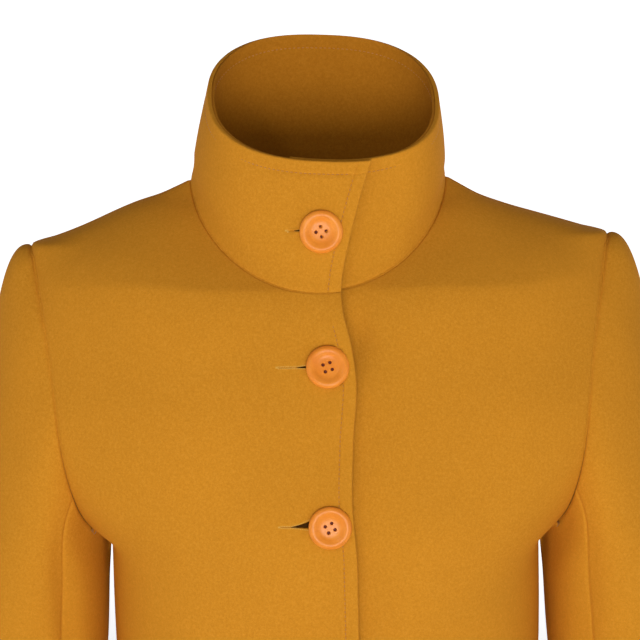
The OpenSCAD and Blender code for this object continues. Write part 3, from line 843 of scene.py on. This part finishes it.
def collar_at(a, h):
    """Point of the funnel collar: a runs round from the lapping edge over the wearer's right, h runs up."""
    c = np.cos(a)
    z0 = -np.where(c > 0, NECK_DROP, NECK_DROP_BACK) * np.abs(c) ** NECK_POWER
    sx = NECK_HALF_W * np.sin(a)
    phi = phi_at(np.abs(sx), z0)
    base = form(np.where(c >= 0, phi, math.pi - phi), z0)
    base[..., 0] *= -np.sign(sx)
    rim_x = 5 - RIM_W * power(np.sin(a), RIM_POWER)
    rim_y = -5 - RIM_DEPTH * power(c, RIM_POWER)
    rim_z = RIM_FRONT + (rim_y + 80) * (RIM_BACK - RIM_FRONT) / 150 - SLUMP * rim_x
    p = base + (np.stack([rim_x, rim_y, rim_z], -1) - base) * h[..., None]
    out = unit(np.stack([p[..., 0], p[..., 1] + 10, 0 * h], -1))
    deg = np.degrees(a)
    p[..., 1] += np.where((deg > 180) & (c > 0), tuck_at(-sx, h), 0)
    p[..., 1] -= np.where(deg < 90, lift_at(sx, z0) * (1 - h), 0)
    over = 2.0 * h**2 * smooth((14 - deg) / 34) + 1.2 * np.sin(math.pi * h) * smooth((12 - deg) / 20)
    belly = 1.2 * np.sin(math.pi * h) ** 1.2 * (1 - smooth((deg - 300) / 30))
    belly -= 0.9 * np.sin(math.pi * np.clip(h / 0.3, 0, 1))
    return p + out * (over + belly)[..., None]


LAP_LEAN = 9.1  # how much further round the collar's lapping edge lies at the rim, degrees
COLLAR_SLIT = 100 * (BUTTON_Z[0] + NECK_DROP) / (RIM_FRONT + NECK_DROP)


def collar_piece(name, material, thick, depth, h0, *nodes):
    """One layer of the collar, from a share h0 of its height up to the rim."""
    hs = spread(100.0, EDGE, EDGE + (6.2,) + TOPSTITCH, 3.0, list(COLLAR_SLIT + np.arange(-1.5, 3.6, 0.3)))
    hs = h0 + (1 - h0) * hs / 100.0
    near = list(EDGE) + [6.2] + list(TOPSTITCH) + [12.2 + 1.1 * k for k in range(34)]
    shares = share_maker(near, EDGE, 4.0, 590)
    rows = []
    for h in hs:
        start = -math.radians(LAP_NECK) - math.radians(LAP_LEAN) * h**1.86
        a = np.linspace(start, 2 * math.pi + math.radians(UNDER_ANGLE), 900)
        d = run_length(collar_at(a, np.full_like(a, h)))
        rows.append(np.interp(shares(d[-1]), d, a))
    a = np.stack(rows)
    g = collar_at(a, np.repeat(hs[:, None], a.shape[1], 1))
    n = normals(g)
    if n[len(hs) // 2, g.shape[1] // 2, 1] < 0:
        n = -n
    up = along(g, 0)
    dent = 0.5 * bell(along(g, 1), TOPSTITCH_IN, 0.6) + 0.5 * bell(up[-1:] - up, TOPSTITCH_IN, 0.6)
    if depth == 0:
        x, z = g[..., 0] - BUTTON_X[0], g[..., 2] - BUTTON_Z[0]
        dent += slit_dent(0, x, z) * (np.abs(z) < 5) * (a < 1)
    o = sheet_piece(name, g, n, material, thick=thick, depth=depth, dent=dent,
                    roll=(FREE, FREE, THIN_EDGE if depth else SEAM, FREE))
    give(o, "coat_body", "wool_coating", *nodes)
    return g, n


collar_g, collar_n = collar_piece("collar_outer_layer", WOOL, CLOTH, 0.0, 0.0,
                                  "collar_outer", "collar_interlining")
# The inner layer wears the darker wool, painted shade inside the neck
collar_piece("collar_inner_layer", SHADED_INNER_WOOL, 2.1, 3.0, 0.012, "collar_inner")


# ---- Sleeves ----
# Each station's height, the middle's x, half width, the middle's y and half depth
STATIONS = [(CAP_END, 210.5, 53.5, 0, 70), (-375, 218.5, 56.5, -3, 64), (-460, 234, 55, -9, 58),
            (-560, 252, 52, -21, 53), (CUFF, 265, 50, -34, 49)]
CX, HW, CY, HD = (Curve([(s[0], s[k]) for s in STATIONS]) for k in (1, 2, 3, 4))
SEAM_FRONT, SEAM_BACK = 0.33, 0.72  # shares of the way round, from the outside over the front


def ring_at(q, z):
    """Point of the sleeve below its cap, a share q of the way round."""
    t = 2 * math.pi * q
    return np.stack([CX(z) + HW(z) * np.cos(t), CY(z) - HD(z) * np.sin(t), z + 0 * q], -1)


def armhole_at(q):
    """Point of the armhole, a share q of the way round from the shoulder over the front."""
    q = np.mod(q, 1.0)
    front = q <= 0.5
    pf, zf = arm_place(np.clip(q * 2, 0, 1), False)
    pb, zb = arm_place(np.clip((1 - q) * 2, 0, 1), True)
    return form(np.where(front, pf, pb), np.where(front, zf, zb))


def cap_at(q, t):
    """Point of the sleeve's cap, a share t of the way from the armhole, on a smooth path out and down."""
    a, b = armhole_at(q), ring_at(q, np.full_like(q, CAP_END))
    c, s = np.cos(2 * math.pi * q), np.sin(2 * math.pi * q)
    top, low, side = np.where(c > 0, c * c, 0), np.where(c < 0, c * c, 0), s * s
    out = np.stack([30 * top + 14 * side, -7 * s * side, 10 * top - 25 * side - 12 * low], -1)
    reach = np.sqrt((22 * top + 6 * side) ** 2 + (128 * top + 45 * side + 12 * low) ** 2)
    up = unit(b - ring_at(q, np.full_like(q, CAP_END - 6))) * reach[..., None]
    up[..., 0] -= 8 * top
    t = t[..., None]
    return a * (1 - t) ** 3 + (a + out) * 3 * t * (1 - t) ** 2 + (b + up) * 3 * t * t * (1 - t) + b * t**3


def sleeve_rows():
    """Rows of the cap, as shares of it, and heights of the rows above and below the split."""
    cap = [0, 0.002, 0.005, 0.009, 0.014, 0.022, 0.034, 0.05] + list(np.linspace(0.07, 1, 48))
    upper = list(np.linspace(CAP_END, SPLIT, 14)[1:])
    lower = list(np.linspace(SPLIT, CUFF + 36, 62)[1:])
    hem = [CUFF + d for d in (33, 31.5, 30.7, 30, 29.3, 28.5, 26, 22, 17, 12, 8) + EDGE[::-1]]
    return cap, upper, lower + hem


def sleeve_grid(q0, q1, hollow_depth, around=0):
    """A sleeve's grid between two shares of the way round, or right round with that many columns."""
    cap, upper, lower = sleeve_rows()
    if around:
        q = np.arange(around) / around
    else:
        length = (q1 - q0) * 370.0
        q = q0 + (q1 - q0) * spread(length, EDGE, EDGE, 4.0) / length
    g = np.array([cap_at(q, np.full_like(q, t)) for t in cap]
                 + [ring_at(q, np.full_like(q, z)) for z in upper + lower])
    x, y, z = g[..., 0], g[..., 1], g[..., 2]
    n = normals(g, wrap=bool(around))
    centre = np.stack([CX(np.minimum(z, CAP_END)), CY(np.minimum(z, CAP_END))], -1)
    below = slice(len(cap), None)
    turned = 1 if ((g[..., :2] - centre)[below] * n[below][..., :2]).sum() > 0 else -1
    # soft drag lines round the elbow, and a hollow where the sleeve hangs against the body
    wave = 1.1 * np.sin(2 * math.pi * q + 0.9) * bell(z, -375, 55) * np.sin((z + 375) / 17.0)
    hollow = hollow_depth * bell(x, 185 + 0.02 * (z + 300), 8.0) * smooth((-212 - z) / 60)
    hollow *= smooth((-y - 5) / 30) * (1 - 0.8 * smooth((-400 - z) / 150))
    g = g + n * turned * (wave - hollow)[..., None]
    return g, normals(g, wrap=bool(around)) * turned, q, len(cap) + len(upper) - 1


def blend_upper(o, weights):
    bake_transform(o)


def elbow_blend(o):
    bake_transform(o)


def upper_weights(g, q, cut):
    """None at the armhole, and all by a length below it that is longest at the shoulder."""
    c = np.cos(2 * math.pi * q)[None, :]
    w = smooth(along(g[: cut + 1], 0) / np.where(c > 0, 150 + 35 * c, 150 + 66 * c))
    w[-1] = 1.0
    return w


HOLLOWS = {R: 4.2, L: 2.2}


def sleeve_cloth(side, part, q0, q1):
    word = SIDE_NAME[side]
    g, n, q, cut = sleeve_grid(q0, q1, HOLLOWS[side])
    up, lo = slice(0, cut + 1), slice(cut, None)
    o = sheet_piece(part + "_sleeve_upper_cloth_" + word, g[up], n[up], WOOL, side,
                    roll=(SEAM, SEAM, SEAM, 0))
    head = ["sleeve_head_" + word] if part == "top" else []
    give(o, None, "wool_coating", part + "_sleeve_upper_" + word, *head)
    blend_upper(o, upper_weights(g, q, cut))
    o = sheet_piece(part + "_sleeve_lower_cloth_" + word, g[lo], n[lo], WOOL, side, dent=hem_line(g)[lo],
                    roll=(SEAM, SEAM, 0, FREE))
    give(o, None, "wool_coating", part + "_sleeve_lower_" + word)
    elbow_blend(o)


def sleeve_inside(side):
    """The sleeve's lining, and the cuff that is turned up inside it."""
    word = SIDE_NAME[side]
    g, n, q, cut = sleeve_grid(0, 1, HOLLOWS[side], around=72)
    w = upper_weights(g, q, cut)
    depth = LINING_DEPTH - 0.2
    rows = sorted(set(range(8, cut + 1, 2)) | {cut})
    o = sheet_piece("sleeve_lining_upper_satin_" + word, g[rows], n[rows], SATIN, side, wrap=True,
                    thick=LINING, depth=depth + 3.0 * smooth(1 - w[rows]), roll=(0, 0, LINING_EDGE, 0))
    give(o, None, "lining_satin", "sleeve_lining_upper_" + word)
    blend_upper(o, w[rows])
    end = int(np.argmin(np.abs(g[:, 0, 2] - (CUFF + 42))))
    rows = list(range(cut, end, 2)) + [end]
    o = sheet_piece("sleeve_lining_lower_satin_" + word, g[rows], n[rows], SATIN, side, wrap=True,
                    thick=LINING, depth=depth, roll=(0, 0, 0, LINING_EDGE))
    give(o, None, "lining_satin", "sleeve_lining_lower_" + word)
    elbow_blend(o)
    o = sheet_piece("cuff_turn_up_" + word, g[end:], n[end:], WOOL, side, wrap=True, thick=FACING,
                    depth=FACING_DEPTH, roll=(0, 0, THIN_EDGE, THIN_EDGE))
    give(o, "lower_sleeve_" + word, "wool_coating", "cuff_facing_" + word)


def arch(count):
    return np.sin(np.pi * np.linspace(0, 1, count))


def sleeve_head(side):
    """The roll of wadding in the sleeve's head."""
    word = SIDE_NAME[side]
    q = np.linspace(-0.16, 0.16, 33)
    g = np.array([cap_at(q, np.full_like(q, t)) for t in np.linspace(0.05, 0.3, 20)])
    n = normals(g)
    n = n if n[..., 0].sum() > 0 else -n
    fat = arch(20)[:, None] ** 0.6 * arch(33)[None] ** 0.5
    under = g - n * (3.5 + 1.6 * fat)[..., None]
    o = closed_piece("sleeve_head_roll_" + word, g - n * 3.2, under, FELT, side)
    give(o, None, "wadding", "sleeve_roll_" + word, fill=0.5)
    blend_upper(o, smooth(along(g, 0) / 185.0))


for side in (R, L):
    sleeve_cloth(side, "top", SEAM_BACK - 1, SEAM_FRONT)
    sleeve_cloth(side, "under", SEAM_FRONT, SEAM_BACK)
    sleeve_inside(side)
    sleeve_head(side)


def shoulder_pad(side):
    word = SIDE_NAME[side]
    rows = np.linspace(0.125, 0.0, 14)
    us = np.linspace(0.46, 0.93, 18)
    g = np.array([panel_at("left", us, np.full_like(us, v)) for v in rows]
                 + [panel_at("back", us, np.full_like(us, v)) for v in rows[::-1][1:]])
    n = normals(g)
    n = n if n[..., 2].sum() > 0 else -n
    fat = arch(g.shape[0])[:, None] * smooth(np.linspace(0, 1.2, g.shape[1]))[None]
    under = g - n * (3.9 + 8.0 * fat)[..., None]
    o = closed_piece("shoulder_pad_wadding_" + word, g - n * 3.6, under, FELT, side)
    give(o, "coat_body", "wadding", "shoulder_pad_" + word, fill=0.6)


for side in (R, L):
    shoulder_pad(side)


def solid(name, verts, faces, material):
    o = mesh(name, np.array(verts), faces, material)
    bm = bmesh.new()
    bm.from_mesh(o.data)
    bmesh.ops.recalc_face_normals(bm, faces=bm.faces)
    bm.to_mesh(o.data)
    bm.free()
    o.data.polygons.foreach_set("use_smooth", np.full(len(o.data.polygons), True))
    return o


def seam_cord(name, centres, closed=False, radius=1.15, sides=8):
    """The pressed seam's turned-in cloth, which fills the bottom of the groove between two panels."""
    tangent = np.roll(centres, -1, 0) - np.roll(centres, 1, 0) if closed else np.gradient(centres, axis=0)
    tangent = unit(tangent)
    across = unit(np.cross(tangent, [0.13, 0.31, 0.94]))
    up = np.cross(across, tangent)
    ang = 2 * np.pi * np.arange(sides)[None, :, None] / sides
    g = centres[:, None] + radius * (across[:, None] * np.cos(ang) + up[:, None] * np.sin(ang))
    faces = [tuple(q) for q in quads_of(len(g), sides, True, 0, False)]
    last = (len(g) - 1) * sides
    if closed:
        faces += [(last + k, last + (k + 1) % sides, (k + 1) % sides, k) for k in range(sides)]
    else:
        faces += [tuple(range(sides - 1, -1, -1)), tuple(last + k for k in range(sides))]
    o = solid(name, warp(g.reshape(-1, 3)), faces, WOOL)
    give(o, "coat_body", "wool_coating")


# ---- Buttons ----
# The button from the middle of its back round the rim to the middle of its dish: (radius, height)
PROFILE = [(0.0, 0.6), (6.0, 0.3), (10.0, 0.0), (12.4, 0.2), (13.6, 0.55), (14.5, 1.2), (14.95, 1.95),
           (15.0, 2.4), (14.85, 3.0), (14.4, 3.6), (13.7, 4.15), (12.9, 4.5), (12.0, 4.6), (11.1, 4.48),
           (10.2, 4.15), (9.3, 3.7), (8.5, 3.25), (7.8, 2.95), (7.0, 2.75), (6.2, 2.62), (5.2, 2.55),
           (3.5, 2.5), (1.5, 2.5), (0.0, 2.5)]


def lathe(profile, seg):
    """A profile of (radius, height) points turned round the z axis."""
    verts, faces, rings = [], [], []
    for r, z in profile:
        if r < 1e-6:
            rings.append([len(verts)])
            verts.append((0, 0, z))
        else:
            rings.append(list(range(len(verts), len(verts) + seg)))
            turn = [2 * math.pi * k / seg for k in range(seg)]
            verts += [(r * math.cos(t), r * math.sin(t), z) for t in turn]
    for a, b in zip(rings, rings[1:]):
        for k in range(seg):
            j = (k + 1) % seg
            if len(a) == 1:
                faces.append((a[0], b[j], b[k]))
            elif len(b) == 1:
                faces.append((a[k], a[j], b[0]))
            else:
                faces.append((a[k], a[j], b[j], b[k]))
    return verts, faces


HOLE = [(0, -2), (1.15, -2), (1.15, 2.15), (1.35, 2.4), (1.9, 3.2), (0, 3.2)]
PEG = [(0, 0.1), (1.12, 0.1), (1.12, 0.75), (0.8, 1.0), (0, 1.05)]
HOLE_OFF = 2.5  # from the button's centre, both ways


def four_of(profile):
    """The same turned form in each of a button's four holes."""
    verts, faces = [], []
    for sx in (-HOLE_OFF, HOLE_OFF):
        for sy in (-HOLE_OFF, HOLE_OFF):
            v, f = lathe(profile, 20)
            faces += [tuple(k + len(verts) for k in face) for face in f]
            verts += [(x + sx, y + sy, z) for x, y, z in v]
    return verts, faces


def drilled(o):
    """Cuts the four holes."""
    cutter = solid("cutter", *four_of(HOLE), RESIN)
    mod = o.modifiers.new("holes", "BOOLEAN")
    mod.operation, mod.solver, mod.object = "DIFFERENCE", "EXACT", cutter
    bpy.context.view_layer.update()
    cut = bpy.data.meshes.new_from_object(o.evaluated_get(bpy.context.evaluated_depsgraph_get()))
    o.modifiers.clear()
    old, o.data = o.data, cut
    bpy.data.meshes.remove(old)
    bpy.data.objects.remove(cutter)
    o.data.polygons.foreach_set("use_smooth", np.full(len(o.data.polygons), True))
    o.data.set_sharp_from_angle(angle=math.radians(38))


def make_button(i):
    word = "button_%d" % (i + 1)
    place, axis = button_place(i)
    axis, x_axis = Vector(axis), Vector((1, 0, 0))
    m = Matrix((x_axis, axis.cross(x_axis).normalized(), axis)).transposed().to_4x4()
    m.translation = Vector(place * MM)
    m = m @ Matrix.Rotation(math.radians(BUTTON_TURN[i]), 4, "Z")
    m = m @ Matrix.Translation((0, 0, BUTTON_LIFT * MM))
    o = solid("coat_" + word, *lathe(PROFILE, 72), RESIN)
    drilled(o)
    o.data.transform(m)
    give(o, word, "button_resin", word)
    # thread in the holes, dark as painted shade inside them
    peg = solid("button_thread_%d" % (i + 1), *four_of(PEG), HOLE_SHADE_THREAD)
    peg.data.transform(m)
    give(peg, word, "thread")


for i in range(5):
    make_button(i)


# ---- Seams ----
def neck_seam():
    a = np.radians(np.linspace(-7.5, 360 + UNDER_ANGLE - 0.5, 300))
    seat = collar_at(a, 0 * a)
    inward = unit(np.stack([-seat[:, 0], MIDDLE_Y - seat[:, 1], 0 * a], -1))
    seam_cord("neck_seam_allowance", seat + inward * 1.25 + [0, 0, -0.75])


def armhole_seam(side):
    q = np.linspace(0, 1, 260, endpoint=False)
    hole = armhole_at(q)
    if side == L:
        hole[:, 1] += np.where(q < 0.5, tuck_at(hole[:, 0]), 0)
    inward = np.array([0.0, 0.0, -150.0]) - hole
    inward[:, 0] = -55
    hole = (hole + unit(inward) * 1.5) * [side, 1, 1]
    seam_cord("armhole_seam_allowance_" + SIDE_NAME[side], hole, closed=True)


neck_seam()
for side in (R, L):
    armhole_seam(side)


# ---- Stitching ----
def stitch_line(points, ns, sink, pitch=3.2, gap=1.0):
    """Stitches laid along a line of points, sunk a little in the cloth's face."""
    d = run_length(points)

    def at(table, x):
        return np.array([np.interp(x, d, table[:, c]) for c in range(3)])
    starts, ends, ups = [], [], []
    for s in pitch * np.arange(int(d[-1] / pitch)):
        n = at(ns, s + pitch / 2)
        starts.append(at(points, s + gap / 2) - n * sink)
        ends.append(at(points, s + pitch - gap / 2) - n * sink)
        ups.append(n)
    return starts, ends, ups


def beside_edge(g, n):
    """The topstitching's line on a grid, from its first column, and the normals there."""
    d = along(g, 1)
    return [np.array([[np.interp(TOPSTITCH_IN, d[i], t[i, :, c]) for c in range(3)] for i in range(len(g))])
            for t in (g, n)]


def edge_topstitching():
    """Down the lapping edge, up the collar's end, and round its rim on both faces."""
    g, n, vs = fronts["right"]
    below = vs > NECK_ROWS + 0.014
    front, front_n = (t * [-1, 1, 1] for t in beside_edge(g[below], n[below]))
    end, end_n = beside_edge(collar_g[4:-14], collar_n[4:-14])
    rim, rim_n = beside_edge(*(np.swapaxes(t[::-1], 0, 1)[16:-6] for t in (collar_g, collar_n)))
    threads = [[], [], []]
    for points, ns, sink in ((front, front_n, 0.3), (end, end_n, 0.3), (rim, rim_n, 0.3),
                             (rim - rim_n * 5.15, -rim_n, -0.02)):
        for store, new in zip(threads, stitch_line(warp(points), ns, sink)):
            store += new
    give(capsules("edge_topstitching", *threads, 0.3, EDGE_THREAD), "coat_body", "thread")


edge_topstitching()


def buttonhole_threads():
    """Close whip stitches along both lips of every buttonhole, and a bar at its end."""
    starts, ends, ups = [], [], []
    for i, (xb, zb) in enumerate(zip(BUTTON_X, BUTTON_Z)):
        src_g, src_n = (collar_g, collar_n) if i == 0 else fronts["right"][:2]
        flip = [1 if i == 0 else -1, 1, 1]
        pts, ns = src_g.reshape(-1, 3) * flip, src_n.reshape(-1, 3) * flip
        near = (np.abs(pts[:, 0] - xb + 15) < 32) & (np.abs(pts[:, 2] - zb) < 12) & (pts[:, 1] < 0)
        pts, ns = pts[near], ns[near]
        x0 = SLITS[i][0]

        def face(x, z):
            k = int(np.argmin((pts[:, 0] - x) ** 2 + (pts[:, 2] - z) ** 2))
            q, m = pts[k], ns[k]
            return np.array([x, q[1] - ((x - q[0]) * m[0] + (z - q[2]) * m[2]) / m[1], z]), m

        def stitch(xa, za, xc, zc):
            p, m = face(xb + xa, zb + za)
            q, _ = face(xb + xc, zb + zc)
            starts.append(p - m * 0.1)
            ends.append(q - m * 0.04)
            ups.append(m)
        for x in np.arange(x0, BUTTON_EDGE + 1.5, 0.5):
            middle, half = slit_shape(i, x)
            for lip in (-1, 1):
                wander = 0.16 * math.sin(7.3 * x + 2.1 * lip + i)
                stitch(x, middle + lip * half, x + wander, middle + lip * (half + 1.05 + wander))
        middle = slit_shape(i, x0)[0]
        for k in range(5):
            stitch(x0 - 0.35 * k, middle - 1.0, x0 - 0.35 * k, middle + 1.0)
    o = capsules("buttonhole_threads", warp(starts), warp(ends), ups, 0.2, THREAD)
    give(o, "coat_body", "thread", "buttonhole_stitching")


buttonhole_threads()


def hanger_tape():
    """The hanging loop: a woven tape sewn at both ends."""
    half, drop, corner, y, z = 32.0, 28.5, 5.0, 47.0, -25.0
    turn = np.linspace(0, math.pi / 2, 8)[1:]
    path = [(-half, z - t) for t in np.linspace(0, drop - corner, 10)]
    path += [(-half + corner - corner * math.cos(t), z - drop + corner - corner * math.sin(t)) for t in turn]
    path += [(x, z - drop) for x in np.linspace(-half + corner, half - corner, 22)[1:-1]]
    path += [(-px, pz) for px, pz in path[:17][::-1]]
    path = np.array(path)
    tangent = unit(np.gradient(path, axis=0))
    widths = np.array([-2.5, -2.2, -1.5, -0.5, 0.5, 1.5, 2.2, 2.5])
    crown = np.array([0.0, 0.35, 0.55, 0.62, 0.62, 0.55, 0.35, 0.0])[None] + 0 * path[:, :1]
    x, h = path[:, :1] + tangent[:, 1:] * widths, path[:, 1:] - tangent[:, :1] * widths
    front, behind = np.stack([x, y - crown, h], -1), np.stack([x, y + 0.1 + crown, h], -1)
    give(closed_piece("hanging_tape", front, behind, WOOL), "hanger_loop", "wool_coating", "hanger_loop")


hanger_tape()


def shank_ties():
    """The wound thread between the cloth and the back of each button."""
    begin, finish = [], []
    for place, axis in (button_place(i) for i in range(5)):
        for x, z in ((-1, -1), (-1, 1), (1, -1), (1, 1)):
            foot = place + [x, 0, z]
            begin.append(foot - axis * 3.0)
            finish.append(foot + axis * (BUTTON_LIFT - 0.4))
    across = [np.array([1.0, 0.0, 0.0])] * len(begin)
    o = capsules("shank_ties", begin, finish, across, 0.9, THREAD, squash=1.0)
    give(o, "coat_body", "thread", "thread_shanks")


shank_ties()


# ---- Floor, light and camera ----
def floor():
    """A pale floor just under the hem, which glows further out so that it fades to white."""
    size, z = 40.0, -0.846
    me = bpy.data.meshes.new("floor")
    corners = [(-size, -size, z), (size, -size, z), (size, size, z), (-size, size, z)]
    me.from_pydata(corners, [], [(0, 1, 2, 3)])
    m, t, s = nodes_of("floor_paint")
    co = node(t, "ShaderNodeTexCoord").outputs["Object"]
    t.links.new(ramp(t, noise(t, co, 3, 2), [(0.3, grey(0.9)), (0.7, grey(0.93))]), s.inputs["Base Color"])
    finish_of(s, Roughness=0.9, Emission_Color=grey(1))
    reach = node(t, "ShaderNodeVectorMath", [(co, 0)], operation="LENGTH").outputs["Value"]
    far = math_node(t, "DIVIDE", math_node(t, "SUBTRACT", reach, 1.0), 2.6, True)
    glow = math_node(t, "MULTIPLY", math_node(t, "MAXIMUM", far, 0.22), 0.98)
    t.links.new(glow, s.inputs["Emission Strength"])
    me.materials.append(m)
    placed("floor", me)


floor()

world = bpy.data.worlds.new("studio")
bpy.context.scene.world = world
world.use_nodes = True
tree = world.node_tree
background = tree.nodes["Background"]
height = node(tree, "ShaderNodeSeparateXYZ",
              [(node(tree, "ShaderNodeTexCoord").outputs["Generated"], "Vector")]).outputs["Z"]
SKY = [(0.0, grey(1)), (0.14, grey(0.9)), (0.4, grey(0.34)), (0.8, grey(0.22))]
tree.links.new(ramp(tree, height, SKY), background.inputs[0])
background.inputs[1].default_value = 0.72


def area_light(name, place, target, size, watts):
    data = bpy.data.lights.new(name, "AREA")
    data.shape, data.size, data.size_y, data.energy = "RECTANGLE", size[0], size[1], watts
    o = placed(name, data)
    o.location = place
    o.rotation_euler = (Vector(target) - Vector(place)).to_track_quat("-Z", "Y").to_euler()


area_light("front_softbox", (0.15, -3.3, -0.42), (0, 0, -0.4), (1.5, 1.0), 48)
area_light("left_strip", (-1.5, -2.4, 1.2), (0, 0, -0.2), (0.25, 0.5), 6)
area_light("back_fill", (0.6, 3.2, 0.7), (0, 0, -0.3), (2.4, 1.8), 26)

CAMERA_TILT, CAMERA_ROLL, DISTANCE = math.radians(10), math.radians(1.2), 2.8
FRAME_X, FRAME_V, FRAME_W = -0.0007, -0.101, 0.4557
forward = Vector((0, math.cos(CAMERA_TILT), -math.sin(CAMERA_TILT)))
level_up = Vector((0, math.sin(CAMERA_TILT), math.cos(CAMERA_TILT)))
level_right = Vector((1, 0, 0))
right = level_right * math.cos(CAMERA_ROLL) - level_up * math.sin(CAMERA_ROLL)
up = level_right * math.sin(CAMERA_ROLL) + level_up * math.cos(CAMERA_ROLL)
data = bpy.data.cameras.new("camera")
data.sensor_width = 36.0
data.lens = 36.0 * DISTANCE / FRAME_W
data.clip_end = 200.0
camera = placed("camera", data)
m = Matrix((right, up, -forward)).transposed().to_4x4()
m.translation = level_right * FRAME_X + level_up * FRAME_V - forward * DISTANCE
camera.matrix_world = m
bpy.context.scene.camera = camera
bpy.context.scene.view_settings.view_transform = "Standard"
